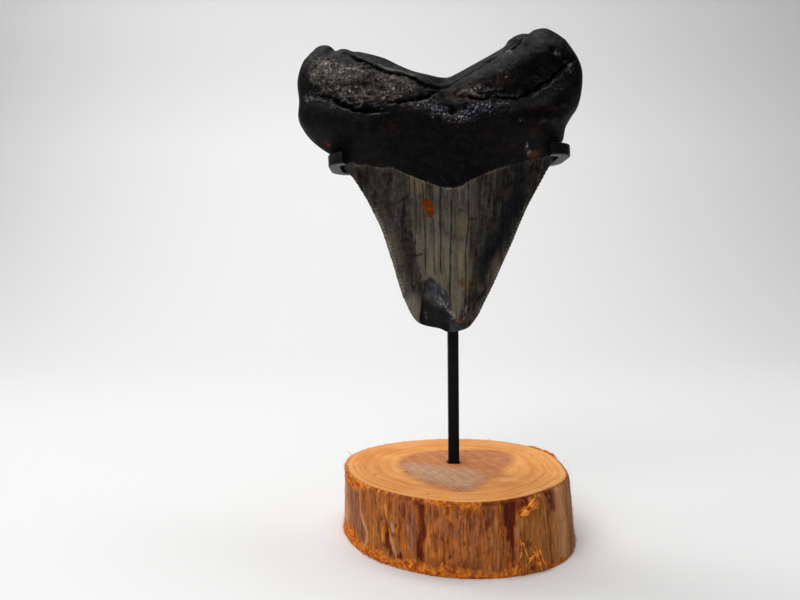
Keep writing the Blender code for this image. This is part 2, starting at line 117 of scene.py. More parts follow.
# Swollen parts of the root: path, half width and height
PILLOWS = [
    ([(-38, 131), (-28, 128.6), (-18, 127.6), (-11, 127.2)], 4.4, 1.8),
    ([(4, 129), (13, 131), (22, 135), (28, 138)], 4.6, 1.8),
    ([(-38, 118.6), (-29, 115.4), (-20, 115.4)], 3.6, 1), ([(14, 117.6), (24, 120.6), (30, 125)], 3.8, 1),
]
# Stepped upper rim of the left lobe, thin groove of the right lobe's rim, and groove between the lobes
RIM = [(-34, 139.4), (-28.9, 137.6), (-21.2, 133.4), (-11.5, 131), (-5.1, 128.2), (-2.6, 129.4)]
RIM_STEP = 1.5
RIM_LINE = [
    (-2, 128.2), (0.1, 129.2), (2.4, 130), (6.4, 132.7), (11.3, 136.2), (14.2, 138.5), (16.8, 140.4),
]
NUTRIENT_GROOVE = [(-2.6, 134), (-2.2, 127), (-1.4, 120.8)]
# Holes in the root: x, z, radius and depth
PITS = [
    (-1.6, 120.5, 0.95, 2.6), (2.1, 121, 0.6, 1.4), (26, 136.9, 0.8, 1.2), (-39, 136.1, 0.7, 0.6),
    (-38.5, 133.4, 0.6, 0.6), (-32.1, 125.8, 0.8, 0.8), (-33.4, 129.1, 0.7, 0.6),
    (-30.1, 128.5, 0.9, 0.7), (-24.5, 127.2, 0.8, 0.6), (16, 138.2, 0.6, 0.5), (5.3, 121.8, 0.5, 0.5),
    (32.4, 139, 0.9, 0.6),
]
# Thin lips of broken bone standing proud: path, half width and height. The same lines are painted pale along
# the bone, as a painted highlight
LIPS = [
    ([(-39.4, 124.9), (-37.6, 124.2), (-35.6, 123.3), (-33.6, 122.2), (-31.8, 121.4), (-30.2, 120.6),
      (-27.4, 119.6), (-24.6, 119.3), (-21.6, 119.1), (-18.4, 119.3)], 0.17, 0.26),
    ([(-26.4, 136.6), (-23, 134.9), (-19.8, 133.1), (-17.4, 131.9), (-14.6, 131.9),
      (-10.8, 130.2)], 0.34, 0.4),
    ([(20.4, 124.2), (24.8, 127.3), (28.4, 130.2), (31.2, 133.2)], 0.22, 0.16),
    ([(-19, 121.5), (-14.4, 121.5), (-11, 121.8), (-8.2, 122.6)], 0.3, 0.25),
    ([(0.2, 125.4), (2.4, 125.2), (4.4, 124.4)], 0.3, 0.3),
    ([(32.6, 122.2), (29.4, 119.6), (25.8, 117.8), (22, 117)], 0.4, 0.06),
    ([(33.6, 125.6), (29.8, 122.4), (26.4, 120.8)], 0.4, 0.05),
]
# Ledges of bone: path, half width and height
LEDGES = [
    ([(-27.5, 122.8), (-22, 121.9), (-17, 121.2)], 0.9, 0.6), ([(2, 122), (8, 121.9)], 0.7, 0.3),
    ([(31.4, 120.6), (28.6, 118.5), (25.4, 117)], 0.8, 0.4),
]
# Folded, flaky bone beside the creases: x, z, two radii and strength. The ridges of the folds are painted
# pale, as a painted highlight
FOLDS = [
    (-25, 123, 10, 2.6, 1), (-9, 122, 8, 2.6, 0.6), (7, 124.6, 9, 2.2, 0.7), (26, 127.6, 6, 3.2, 0.25),
    (-15, 133.6, 12, 2, 0.5),
]
# Flake lost from the tip: x of its sides by height, its top as (x, z), and its depth
SPALL_LEFT = [(60, -10.4), (64, -10.2), (70, -9.6), (75.6, -8.7)]
SPALL_RIGHT = [(58, 2.8), (62.2, 2.2), (63.5, 0.1), (66, -1.1), (69, -1.5), (75.4, -1.7)]
SPALL_TOP = [
    (-9.4, 74.7), (-7.4, 75.5), (-6.2, 75.2), (-5.1, 73.9), (-4, 73.2), (-3, 72.3), (-2.1, 70.6),
    (-1.3, 69),
]
SPALL_DEPTH = 1.1


def smooth(low, high, value):
    """Smooth step from 0 at low to 1 at high."""
    share = np.clip((value - low) / (high - low), 0.0, 1.0)
    return share * share * (3.0 - 2.0 * share)


def spline(points, steps=12):
    """Catmull-Rom curve through the points, with that many points for each knot."""
    knots = np.array(points, float)
    knots = np.vstack([2 * knots[0] - knots[1], knots, 2 * knots[-1] - knots[-2]])
    u = np.linspace(0.0, 1.0, steps, endpoint=False)[:, None]
    runs = []
    for a, b, c, d in zip(knots, knots[1:], knots[2:], knots[3:]):
        run = 2 * b + (c - a) * u + (2 * a - 5 * b + 4 * c - d) * u**2 + (3 * b - a - 3 * c + d) * u**3
        runs.append(0.5 * run)
    return np.vstack(runs + [knots[-2]])


def along(curve, share):
    """Points at the given shares of the curve's length."""
    steps = np.linalg.norm(np.diff(curve, axis=0), axis=1)
    length = np.concatenate([[0.0], np.cumsum(steps)])
    at = share * length[-1]
    return np.stack([np.interp(at, length, curve[:, k]) for k in range(curve.shape[1])], axis=1)


def offset(x, z, path):
    """Distance of each point from a polyline, positive on the left of its direction."""
    path = np.array(path, float)
    nearest = np.full(len(x), np.inf)
    signed = np.zeros(len(x))
    for (ax, az), (bx, bz) in zip(path, path[1:]):
        dx, dz = bx - ax, bz - az
        share = np.clip(((x - ax) * dx + (z - az) * dz) / (dx * dx + dz * dz), 0.0, 1.0)
        px, pz = x - ax - share * dx, z - az - share * dz
        gap = np.hypot(px, pz)
        signed = np.where(gap < nearest, np.where(dx * pz - dz * px > 0, gap, -gap), signed)
        nearest = np.minimum(nearest, gap)
    return signed


def distance(x, z, path):
    """Distance of each point from a polyline."""
    return np.abs(offset(x, z, path))


def table(pairs, value):
    """Size read from a list of pairs joined by a smooth curve."""
    curve = spline(pairs, 5)
    return np.interp(value, curve[:, 0], curve[:, 1])


def unit(rows):
    """Each row scaled to length 1."""
    return rows / np.linalg.norm(rows, axis=1)[:, None]


def hump(value, width):
    """Bell curve, 1 at zero."""
    return np.exp(-((value / width) ** 2))


def lumps(points, size, seed=0):
    """Smooth noise from about -1 to 1. The size, in millimetres, is one number or one for each axis."""
    places = points / np.array(size, float) + 7.3 * seed
    return np.array([noise.noise(place) for place in places.tolist()])


def grains(points, size, seed=0):
    """Distance to the nearest of scattered centres, in shares of the size."""
    places = points / np.array(size, float) + 5.1 * seed
    return np.array([noise.voronoi(place)[0][0] for place in places.tolist()])


def outline_patch(across, up):
    """Plane position (x, z) of a grid point, from the four edges of the outline."""
    left, right = along(spline(LEFT_EDGE), up), along(spline(RIGHT_EDGE), up)
    low, high = along(spline(TIP_EDGE), across), along(spline(TOP_EDGE), across)
    a, b = across[:, None], up[:, None]
    corners = (1 - a) * (1 - b) * np.array(LEFT_EDGE[0]) + a * (1 - b) * np.array(RIGHT_EDGE[0])
    corners = corners + (1 - a) * b * np.array(LEFT_EDGE[-1]) + a * b * np.array(RIGHT_EDGE[-1])
    return (1 - a) * left + a * right + (1 - b) * low + b * high - corners


def outline_distance(x, z):
    """Distance of each point from the tooth's outline."""
    edges = [spline(edge, 5) for edge in (LEFT_EDGE, RIGHT_EDGE, TIP_EDGE, TOP_EDGE)]
    return np.min([distance(x, z, edge) for edge in edges], axis=0)


def round_off(depth, radius):
    """Quarter-round profile: 0 at the outline, 1 from the radius inwards."""
    share = 1.0 - np.clip(depth / radius, 0.0, 1.0)
    return np.sqrt(np.clip(1.0 - share**2, 0.0, 1.0))


def root_share(x, z):
    """0 on the crown and 1 on the root, turning over a band above the chevron."""
    return smooth(-1.5, 8.0, z - table(CHEVRON, x))


def front_swell(side, x, z, depth):
    """How far the lingual face stands in front of the edge plane."""
    crown = table(CROWN_SWELL, z) * np.cos(side * math.pi / 2) ** 1.2 + EDGE_HALF
    taper = 1.0 - 0.34 * np.clip(np.abs(x - MIDDLE_X) / 40.0, 0.0, 1.0) ** 2
    root = table(ROOT_SWELL, z) * taper
    for path, half_width, height in PILLOWS:
        root += height * hump(distance(x, z, path), half_width)
    root = root * round_off(depth, ROOT_ROUNDING) + EDGE_HALF
    share = root_share(x, z)
    return (1 - share) * crown + share * root


def back_swell(side, x, z, depth):
    """How far the labial face stands behind the edge plane."""
    reach = LABIAL_FACE - table(EDGE_PLANE, z) - EDGE_HALF
    lobes = LOBE_BACK * hump(np.abs(x - MIDDLE_X) - 24.0, 10.0)
    dish = LABIAL_DISH * hump(x - MIDDLE_X, 11.0) * hump(z - 122.0, 8.0)
    reach = reach + (lobes - dish) * smooth(113.5, 120.0, z)
    crown = reach * (1 - side**2) ** 0.9
    root = reach * round_off(depth, BACK_ROUNDING)
    share = root_share(x, z)
    return (1 - share) * crown + share * root + EDGE_HALF


def wander(x, z, plane, seed, broad, fine):
    """The plane positions moved about, so that lines drawn on them run raggedly."""
    shift = broad * lumps(plane, 2.4, seed) + fine * lumps(plane, 0.8, seed + 1)
    rise = broad * lumps(plane, 2.4, seed + 2) + fine * lumps(plane, 0.8, seed + 3)
    return x + shift, z + rise


def chip_share(x, z, ragged):
    """1 inside the flake lost from the tip."""
    inside = np.minimum(x - table(SPALL_LEFT, z), table(SPALL_RIGHT, z) - x + 1.2 * ragged)
    return smooth(-0.1, 0.35, np.minimum(inside, table(SPALL_TOP, x) - z + ragged))


def crease_depth(x, z, plane):
    """Depth of the sharp creases alone."""
    ragged_x, ragged_z = wander(x, z, plane, 11, 0.55, 0.5)
    depth = np.zeros(len(x))
    open_wide = 0.8 + 0.9 * lumps(plane, 3.2, 14) + 0.4 * lumps(plane, 1.1, 15)
    for path, above, below, deep in CREASES:
        away = offset(ragged_x, ragged_z, spline(path, 3))
        ends = [np.hypot(x - end_x, z - end_z) for end_x, end_z in (path[0], path[-1])]
        reach = np.where(away > 0, above, below) * np.clip(open_wide, 0.45, 1.7)
        fade = 0.4 + 0.6 * smooth(0.0, 5.0, np.minimum(*ends))
        depth = np.maximum(depth, deep * fade * np.exp(-(np.abs(away) / reach) ** 1.4))
    return depth


def hollow(x, z, plane):
    """Depth of the creases, the nutrient groove and the holes on the lingual face."""
    ragged_x, ragged_z = wander(x, z, plane, 21, 0.4, 0.24)
    depth = crease_depth(x, z, plane)
    above_rim = ragged_z - table(RIM, x)
    depth += RIM_STEP * smooth(0.0, 1.6, above_rim) * smooth(-35.0, -31.0, x) * smooth(1.0, -3.0, x)
    depth += 0.4 * hump(distance(ragged_x, ragged_z, RIM_LINE), 0.4)
    depth += 2.4 * hump(distance(x, z, NUTRIENT_GROOVE), 3.0)
    for pit_x, pit_z, radius, deep in PITS:
        depth += deep * hump(np.hypot(ragged_x - pit_x, ragged_z - pit_z), radius)
    for path, half_width, height in LEDGES:
        depth -= height * hump(distance(ragged_x, ragged_z, path), half_width)
    depth -= drawn(ragged_x, ragged_z, LIPS) * smooth(-0.7, 0.1, lumps(plane, 1.8, 25))
    return depth


# --------------------------------------------------------------------------- tooth finish
# Lines down the enamel: path, half width and strength
STREAKS = [
    ([(-13.2, 104.4), (-13, 99.6)], 0.2, 0.8),
    ([(-11.8, 103.6), (-11.4, 96), (-11.2, 88), (-11.5, 80)], 0.17, 0.8),
    ([(-9.4, 101.8), (-9.2, 97), (-8.7, 90), (-8.6, 76.4)], 0.19, 0.95),
    ([(-6.3, 92), (-6, 84), (-5.8, 76.6)], 0.16, 0.85),
    ([(-4.5, 100.3), (-4.5, 92), (-4.2, 84), (-4, 77)], 0.22, 1), ([(-3.5, 84), (-3.2, 76.5)], 0.14, 0.7),
    ([(-1.5, 97), (-1.3, 90), (-1.6, 80), (-1.7, 73), (-1.6, 69.5), (-1.2, 66.5)], 0.27, 1),
    ([(3.4, 101.5), (3.6, 92), (3, 83), (2.9, 75), (3.1, 67)], 0.21, 0.95),
    ([(6.7, 102.5), (6.8, 95), (6.4, 86.5)], 0.18, 0.8), ([(0.4, 99.5), (0.6, 93)], 0.16, 0.7),
    ([(2, 100.4), (2.1, 96.4)], 0.14, 0.6), ([(5, 102), (5.2, 93.6)], 0.15, 0.6),
    ([(9.6, 103.6), (9.2, 96)], 0.16, 0.6), ([(11.6, 104.4), (11.2, 100)], 0.16, 0.5),
    ([(-7.6, 101.4), (-7.7, 98.4)], 0.16, 0.6), ([(-14.6, 104.6), (-14.2, 99.5)], 0.16, 0.5),
    ([(-18.4, 96.7), (-17.2, 97), (-15.8, 97.5), (-14.2, 98.6), (-13, 99.4)], 0.27, 1.2),
    ([(-12.6, 82.3), (-11.2, 81.9), (-9.6, 82.6)], 0.24, 0.95),
    ([(3.6, 87), (5, 85.9), (6.4, 85.7)], 0.18, 0.7), ([(3.9, 92.3), (5.4, 92.1)], 0.26, 0.9),
    ([(1, 94.6), (2.2, 94.4)], 0.22, 0.7), ([(-22.8, 104.2), (-20, 101), (-18.9, 98.4)], 0.24, 0.5),
    ([(-26, 104.8), (-24.4, 102.6), (-24, 101)], 0.22, 0.5),
    ([(-19.8, 105), (-19, 102.2), (-16.8, 100)], 0.22, 0.5),
    ([(-28, 107.6), (-26.2, 106), (-22.4, 106.2)], 0.2, 0.4),
]
# Navy smudges in the enamel: path, half width and strength
SMUDGES = [
    ([(18.8, 105.6), (17.8, 99.4), (15.8, 93.4), (13.6, 88), (10.4, 83), (9, 80.6)], 2.8, 1),
    ([(9, 80), (7.6, 74.4)], 1.4, 0.6), ([(13.6, 104.4), (12.6, 98)], 1.8, 0.4),
    ([(7.2, 69.6), (8.6, 71)], 0.9, 1), ([(-11.5, 73.4), (-10.9, 71.8)], 0.45, 0.9),
    ([(-21.6, 98), (-18.4, 91.5), (-15.4, 84), (-12.9, 76)], 1.9, 0.32),
    ([(-12.4, 88), (-12, 79), (-11, 75)], 1.1, 0.42), ([(-11.6, 94), (-11.2, 89.6)], 0.9, 0.3),
    ([(-28.5, 106.5), (-24.5, 103.5), (-21.5, 105.6)], 2.2, 0.34),
    ([(-3.4, 90.6), (-2.8, 88.6), (1, 86.4)], 1.1, 0.42), ([(-5.8, 97.4), (-5.2, 94.6)], 0.9, 0.3),
    ([(5.4, 88), (7, 85.8)], 1.2, 0.35),
]
# Rust and mineral stains: x, z, two radii and strength
STAINS = [
    (22.2, 110.2, 1.5, 1, 0.6), (-35.9, 113.4, 0.45, 0.32, 1), (-36.6, 114, 0.6, 0.4, 0.4),
    (24, 109.9, 0.5, 0.8, 0.3), (-18.3, 116.6, 0.7, 1.5, 0.12), (-17.2, 115.6, 0.6, 0.9, 0.1),
    (1.6, 74.1, 1.2, 1.5, 0.62), (3.4, 71.4, 1, 1.4, 0.2), (1.4, 63.1, 1.2, 0.75, 0.9),
    (19.4, 117, 0.9, 0.9, 0.1), (20.8, 114.6, 1, 1.2, 0.1), (-5, 77.2, 1.5, 0.7, 0.22),
    (-10.4, 92.6, 0.7, 0.6, 0.18), (-1.6, 116.8, 1, 0.4, 0.1), (33.4, 139.2, 0.6, 0.4, 0.4),
    (1.4, 89.4, 1.5, 1.5, 0.1), (20.6, 121, 0.8, 1.2, 0.08), (-4.2, 118.6, 0.9, 0.35, 0.18),
    (12, 127.6, 2.4, 1.2, 0.06), (24.4, 121.6, 2, 1.4, 0.06),
]
# Thin stained lines: path, half width and strength
STAIN_LINES = [
    ([(20.8, 111.2), (21.2, 109.8), (22.2, 109.2), (23.2, 109.8), (24, 111.2)], 0.3, 0.5),
    ([(21.6, 110.6), (22.6, 111.4), (23, 110.6)], 0.2, 0.4), ([(19.6, 112.4), (19.4, 110.6)], 0.22, 0.3),
    ([(-0.6, 124.6), (1, 124.3), (2.4, 124.1)], 0.3, 0.35),
    ([(-0.8, 123.3), (1.4, 123.3), (4, 122.9)], 0.16, 0.45), ([(7, 122.7), (9.8, 122.9)], 0.16, 0.25),
    ([(-2, 127.6), (-1.5, 126), (-1.3, 124.2)], 0.3, 0.22), ([(0.6, 128.6), (5, 131.2)], 0.25, 0.12),
]
# Warm tan ground in the enamel: x, z, two radii and strength
TANS = [
    (-9.5, 101, 4, 3.2, 0.8), (-13, 102.4, 0.8, 2.6, 0.9), (1.6, 90, 2.4, 2.6, 0.6),
    (11.6, 91.4, 1.4, 1.8, 0.6), (5, 74, 3.6, 2.8, 0.8), (12.2, 78.4, 2, 4.4, 0.9), (-4.8, 80, 3, 4, 0.4),
    (1.4, 80, 1.8, 5, 0.5), (-21, 91, 1.6, 5, 0.5), (-17.6, 83, 2.2, 6, 0.4), (23.6, 101, 1.2, 5, 0.6),
    (5, 66, 2, 4, 0.5),
]
# Tear-shaped rust mark under the chevron: height, half width and x of its middle
TEAR = [
    (92.3, 0, -6.9), (92.9, 0.6, -7), (93.8, 1.15, -7.3), (95, 1.6, -7.8), (96.2, 1.7, -8.1),
    (97.1, 1.4, -8.2), (97.7, 0.8, -8.1), (97.9, 0, -8.1),
]
# Light mineral flecks and painted glints: path, half width and strength
FLECKS_AND_GLINTS = [
    ([(-30, 108.9), (-23.5, 107.3), (-17.5, 106.2), (-13.4, 104.3), (-8.1, 102), (-6, 101.3)], 0.15, 0.3),
    ([(-3.4, 100.4), (-1.6, 100.2)], 0.3, 0.6), ([(0.8, 100.5), (1.8, 100.9)], 0.25, 0.35),
    ([(3.6, 102), (8.3, 104.3), (14.5, 106.6)], 0.13, 0.2), ([(-3.8, 72.7), (-3.7, 70.7)], 0.16, 0.85),
    ([(-4.4, 69.8), (-3.7, 69.1), (-3.2, 68.2), (-2.1, 67)], 0.2, 1),
    ([(-4.8, 68.9), (-4, 68)], 0.16, 0.9),
    ([(-1.8, 68.2), (-2.1, 67), (-1.5, 65.8), (-0.5, 65.2), (-0.3, 64.2), (-0.7, 63.4)], 0.2, 1),
    ([(-1.6, 65.5), (-0.9, 64.5)], 0.26, 0.6), ([(-6.1, 73.3), (-5.2, 72.9)], 0.18, 0.4),
    ([(-8.6, 66), (-8.2, 63.4)], 0.2, 0.3), ([(-5.6, 70.6), (-5.2, 69.4)], 0.14, 0.35),
    ([(0.6, 63.2), (1.4, 62.8), (2.1, 62.5)], 0.36, 0.45),
    ([(3, 67.6), (2.9, 65), (2.5, 63.7)], 0.13, 0.95),
    ([(19.7, 112.6), (20, 111.2), (20.3, 110.2)], 0.26, 0.75), ([(20.6, 111.2), (21.2, 110.8)], 0.2, 0.5),
    ([(1.2, 126), (2.2, 125.6)], 0.3, 0.4), ([(3.4, 125.2), (4.4, 124.6), (5.4, 124)], 0.3, 0.35),
    ([(33.2, 139.9), (33.8, 139.6)], 0.3, 0.8), ([(14.4, 137.6), (14.9, 137.6)], 0.35, 0.6),
    ([(27, 136.4), (27.6, 136)], 0.5, 0.3), ([(31.2, 133.6), (31.6, 134.2)], 0.3, 0.4),
]
# Porous bone: x, z, two radii and strength
POROUS = [
    (-29, 129, 10, 5, 1), (-16, 126.6, 10, 2.8, 0.8), (-36, 132.5, 6, 4.5, 0.8), (-6, 120.8, 9, 2.8, 0.9),
    (6.5, 120.4, 8, 2.8, 0.8), (4, 127, 7, 2.4, 0.55), (12, 133, 5, 3, 0.35), (-22, 121.8, 6, 1.6, 0.6),
    (-38.5, 126.4, 3.5, 1.8, 0.6), (20, 130, 10, 6, 0.25),
]
# Pale worn bone, on the left dome partly a painted sheen: x, z, two radii and strength
SAND_AND_SHEEN_PATCHES = [
    (-35.2, 132, 4.6, 3.4, 1), (-30, 131.6, 4.4, 3, 0.95), (-38.6, 135.2, 3.4, 2.2, 0.6),
    (-24, 130.4, 5.4, 2.2, 0.8), (-19, 129, 5.4, 1.9, 1), (-13.4, 127.2, 5.2, 1.3, 0.85),
    (-17, 125.8, 5, 1.4, 1), (-26, 126, 6.6, 1.5, 0.9), (-20, 124, 6, 1.1, 0.8),
    (-33, 127.6, 3.6, 1.6, 0.55), (3.4, 126.6, 3.4, 1.6, 0.6), (-16, 133, 9, 0.6, 0.3),
    (-1, 127, 3, 2.2, 0.12), (10, 129.4, 5, 2.4, 0.22),
]
# Bare spongy bone with a lilac sparkle: x, z, two radii and strength
LILACS = [
    (-8.6, 121.2, 3, 1.2, 0.7), (-4.4, 120.2, 3.4, 1.8, 0.85), (1.6, 118.8, 3.6, 1.8, 0.8),
    (6.4, 121.2, 3.6, 1.4, 0.85), (-1, 117.4, 3.4, 0.8, 0.25), (5, 125.8, 2.6, 0.8, 0.75),
    (-39.6, 125.6, 2.6, 1.4, 0.5), (13, 137, 2, 1.4, 0.3), (17, 117.4, 0.8, 0.5, 0.6),
    (11, 121.6, 2.4, 0.7, 0.5), (31, 133, 1.6, 1.8, 0.3),
]

# Edges of the pale panel down the crown and of the band on its right, each pair a height and an x
PANEL_LEFT = [(60, -9), (75, -9.4), (80, -10.6), (88, -12), (104, -12.8)]
PANEL_RIGHT = [(62, 1), (75, 4), (88, 3.8), (104, 5)]
BESIDE_RIGHT = [(62, 3), (78, 6.4), (88, 8.6), (104, 12.4)]
# Pale places on the enamel: x, z, two radii, how ragged they are and how much paler
PALE_SPOTS = [
    (-12.4, 66.5, 2.4, 4.2, 0.2, 0.39), (12.4, 78.6, 1.9, 4.2, 0.2, 0.4), (-2.4, 79.5, 1.6, 4, 0, 0.22),
    (7.3, 72.8, 1.4, 1.6, 0, 0.2),
]
TIP_LEVEL = (64.5, 66.5)  # heights between which the serrations start


def patch(x, z, centre_x, centre_z, reach_x, reach_z, ragged=0.0):
    """Soft oval patch, 1 in the middle."""
    return smooth(1.4, 0.5, np.hypot((x - centre_x) / reach_x, (z - centre_z) / reach_z) + ragged)


def strongest(masks):
    """The greatest of several masks at each point."""
    return reduce(np.maximum, masks, 0.0)


def patches(x, z, places, ragged):
    """Strongest of several soft patches at each point."""
    return strongest(most * patch(x, z, *place, ragged) for *place, most in places)


def drawn(x, z, lines):
    """Strongest of several drawn lines at each point."""
    return strongest(most * hump(distance(x, z, path), half_width) for path, half_width, most in lines)


def notches(z):
    """0 in the notches between serrations and 1 on their points."""
    return 0.5 + 0.5 * np.cos(2 * math.pi * EDGE_SLOPE * z / SERRATION_PITCH)


def folded(x, z, plane):
    """Where the bone is folded, and the waves of its folds."""
    return patches(x, z, FOLDS, 0.2 * lumps(plane, 2.0, 52)), lumps(plane, (3.6, 1.2, 1.0), 51)


def front_tone(x, z, depth, plane, fine, broad, tiny, serration_highlights):
    """How pale the enamel of the front is, with a painted highlight on each serration point."""
    panel = smooth(-0.6, 0.5, x - table(PANEL_LEFT, z) + 0.4 * fine)
    panel = panel * smooth(1.2, -1.2, x - table(PANEL_RIGHT, z) + 0.9 * broad)
    beside = smooth(-1.0, 1.0, x - table(PANEL_RIGHT, z))
    beside = beside * smooth(1.5, -1.5, x - table(BESIDE_RIGHT, z) + broad)
    pale = 0.16 + panel * (0.255 + 0.3 * smooth(97.0, 84.0, z)) + 0.07 * beside
    for at_x, at_z, wide, tall, ragged, more in PALE_SPOTS:
        pale += more * patch(x, z, at_x, at_z, wide, tall, ragged * fine)
    pale -= 0.03 * smooth(6.0, 10.0, x) * smooth(84.0, 92.0, z)
    pale += 0.05 * smooth(-10.0, -13.0, x) + 0.16 * smooth(5.0, 2.0, depth) * smooth(100.0, 92.0, z) * (x < 0)
    bands = lumps(plane, (1.3, 22.0, 1.0), 6)
    rim = smooth(0.9, 0.15, depth) * smooth(106.0, 101.0, z)
    clouds = 0.42 * bands * (0.5 + 0.5 * panel) + 0.12 * broad + 0.14 * fine + 0.1 * tiny
    return pale + (clouds + 0.3 * serration_highlights + 0.1 * rim)


def front_streaks(x, z, plane, fine):
    """Dark lines down the enamel, hairlines under the chevron and the crackle at the left."""
    sway = 0.2 * lumps(plane, (1.4, 6.0, 1.0), 5)
    streak = 1.15 * drawn(x + sway, z, STREAKS) * (0.9 + 0.6 * lumps(plane, (0.8, 2.4, 1.0), 7))
    under = smooth(96.0, 105.0, z + 0.25 * np.abs(x + 1.4)) * smooth(17.0, 8.0, np.abs(x - 1.0))
    streak = np.maximum(streak, 0.7 * under * smooth(0.15, 0.5, lumps(plane, (0.5, 14.0, 1.0), 8)))
    crackle = hump(lumps(plane, (3.4, 3.0, 1.0), 17) + 0.3 * fine, 0.07) * smooth(-12.0, -15.0, x)
    return np.maximum(streak, 0.5 * crackle)


def front_rust(x, z, depth, ragged, fine, tiny):
    """Rust stains, the rusty tear under the chevron and the faint rust of the right edge."""
    rust = np.maximum(patches(x, z, STAINS, 0.45 * fine + 0.35 * tiny), drawn(*ragged, STAIN_LINES))
    height, half, middle = np.array(TEAR).T
    half, middle = np.interp(z, height, half), np.interp(z, height, middle)
    tear = smooth(0.45, -0.45, np.abs(x - middle) - half + 0.5 * fine + 0.3 * tiny) * (half > 0)
    edge = 0.14 * smooth(1.8, 0.3, depth) * smooth(26.0, 33.0, x) * smooth(114.0, 124.0, z)
    return np.maximum.reduce([rust, tear, edge])


def front_lip_highlights(x, z, plane):
    """Painted highlights along the broken edges of the bone beside its creases and on the ridges of its
    folds.
    """
    lip_highlights = 2.4 * drawn(*wander(x, z, plane, 21, 0.4, 0.24), LIPS) * smooth(-0.5, 0.2, lumps(plane, 1.8, 25))
    folds, waves = folded(x, z, plane)
    return np.maximum(lip_highlights, 0.75 * (folds * hump(waves, 0.09)) * smooth(-0.3, 0.3, lumps(plane, 1.2, 56)))


def front_sand_and_sheen(x, z, fine, broad):
    """Pale worn bone, partly a painted sheen on the left dome, the share of it that is kept, and how strong
    its slanting drifts are, with a painted highlight on the dome's top.
    """
    slanted = np.stack([0.88 * x - 0.47 * z, 0.47 * x + 0.88 * z, np.zeros(len(x))], axis=1)
    drift = smooth(-0.25, 0.3, lumps(slanted, (4.2, 1.5, 1.0), 57) + 0.5 * fine)
    # Painted highlight on the top of the left dome.
    dome_highlight = patch(x, z, -33.5, 130.0, 6.0, 4.0, 0.4 * fine)
    worn_off = 0.24 * smooth(-31.5, -25.0, x) * smooth(117.0, 122.0, z)
    sand = patches(x, z, SAND_AND_SHEEN_PATCHES, 0.4 * broad + 0.3 * fine)
    return sand, 1 - worn_off, 0.52 + 0.68 * drift + 0.65 * dome_highlight


def lingual_paints(x, z, depth, plane):
    """Masks of the front face's colours."""
    fine, broad, tiny = lumps(plane, 1.1, 3), lumps(plane, 4.5, 4), lumps(plane, 0.5, 15)
    ragged = wander(x, z, plane, 31, 0.5, 0.3)
    crown = smooth(0.14, -0.14, z - table(CHEVRON, x) + 0.2 * fine)
    bone = 1 - crown
    # Painted highlight on the point of each serration, added to the enamel's paleness and to the creamy
    # flecks.
    serration_highlights = smooth(1.2, 0.6, depth) * notches(z) ** 2 * smooth(-0.5, 0.2, lumps(plane, 3.0, 16))
    serration_highlights = serration_highlights * smooth(100.0, 94.0, z) * smooth(*TIP_LEVEL, z)
    # Creamy mineral flecks, many of them painted glints on the enamel and the bone.
    cream = drawn(*ragged, FLECKS_AND_GLINTS) * smooth(-0.45, 0.25, tiny + 0.3 * fine)
    chip = chip_share(x, z, 0.5 * fine + 0.3 * tiny)
    slope = z - 68.0 + 0.5 * (x + 6.0) + 1.2 * broad + 0.6 * fine
    deep = smooth(1.6, -1.8, slope) * smooth(0.6, -0.8, x + 1.4)
    deep = np.maximum(deep, 0.6 * smooth(0.4, -0.4, x - table(SPALL_LEFT, z) - 0.5))
    sand, kept, drifts_and_highlight = front_sand_and_sheen(x, z, fine, broad)
    return {
        "crown": crown, "pale": front_tone(x, z, depth, plane, fine, broad, tiny, serration_highlights),
        "smudge": drawn(x + 1.4 * broad + 0.5 * fine, z, SMUDGES) * (1.05 + 0.7 * fine),
        "streak": front_streaks(x, z, plane, fine) * (1 - chip),
        "rust": front_rust(x, z, depth, ragged, fine, tiny),
        "cream": np.maximum(cream, (0.3 + 0.2 * (x < 0)) * serration_highlights),
        "porous": patches(x, z, POROUS, 0.25 * broad) * bone, "sand": sand * bone * kept * drifts_and_highlight,
        "lilac": patches(x, z, LILACS, 0.5 * fine), "tan": patches(x, z, TANS, 0.4 * fine),
        # Painted highlight along the bone's broken edges and fold ridges.
        "lip": front_lip_highlights(x, z, plane) * bone, "chip": chip, "deep": deep * chip,
        # Painted shade: the bone is painted black down its creases, as deep as they are.
        "crack": smooth(0.25, 1.1, crease_depth(x, z, plane)) * bone,
    }


def labial_paints(x, z, depth, plane):
    """Masks of the back face's colours."""
    fine, broad, tiny = lumps(plane, 1.1, 23), lumps(plane, 5.0, 24), lumps(plane, 0.5, 25)
    crown = smooth(0.2, -0.2, z - table(BACK_CHEVRON, x) + 0.35 * fine)
    rim = smooth(0.9, 0.15, depth) * smooth(108.0, 101.0, z)
    middle = smooth(17.0, 5.0, np.abs(x - MIDDLE_X) + 0.12 * (112.0 - z) + 1.5 * broad)
    pale = 0.22 + 0.36 * middle + 0.2 * rim + 0.24 * lumps(plane, (1.6, 26.0, 1.0), 26)
    # The serration points along the back's edge also get a painted highlight.
    pale = pale + 0.2 * broad + 0.14 * fine + 0.3 * rim * notches(z) * smooth(*TIP_LEVEL, z)
    return {
        "crown": crown, "pale": pale,
        "streak": 0.8 * smooth(0.36, 0.56, lumps(plane, (0.9, 30.0, 1.0), 27)) * smooth(2.0, 6.0, depth),
        "smudge": 0.8 * smooth(0.2, 0.6, lumps(plane, (7.0, 14.0, 1.0), 28)),
        "rust": 0.4 * smooth(0.5, 0.66, lumps(plane, 3.2, 29) + 0.15 * tiny),
        "cream": 0.4 * hump(z - table(BACK_CHEVRON, x) + 0.4, 0.25) * smooth(-0.1, 0.4, fine),
        "porous": 0.7 * smooth(-0.1, 0.4, lumps(plane, (8.0, 5.0, 1.0), 30)) * (1 - crown),
        "sand": 0.4 * smooth(0.0, 0.5, lumps(plane, (9.0, 5.0, 1.0), 32)) * (1 - crown),
        "tan": 0.5 * smooth(0.1, 0.5, lumps(plane, (4.0, 9.0, 1.0), 33)),
    }


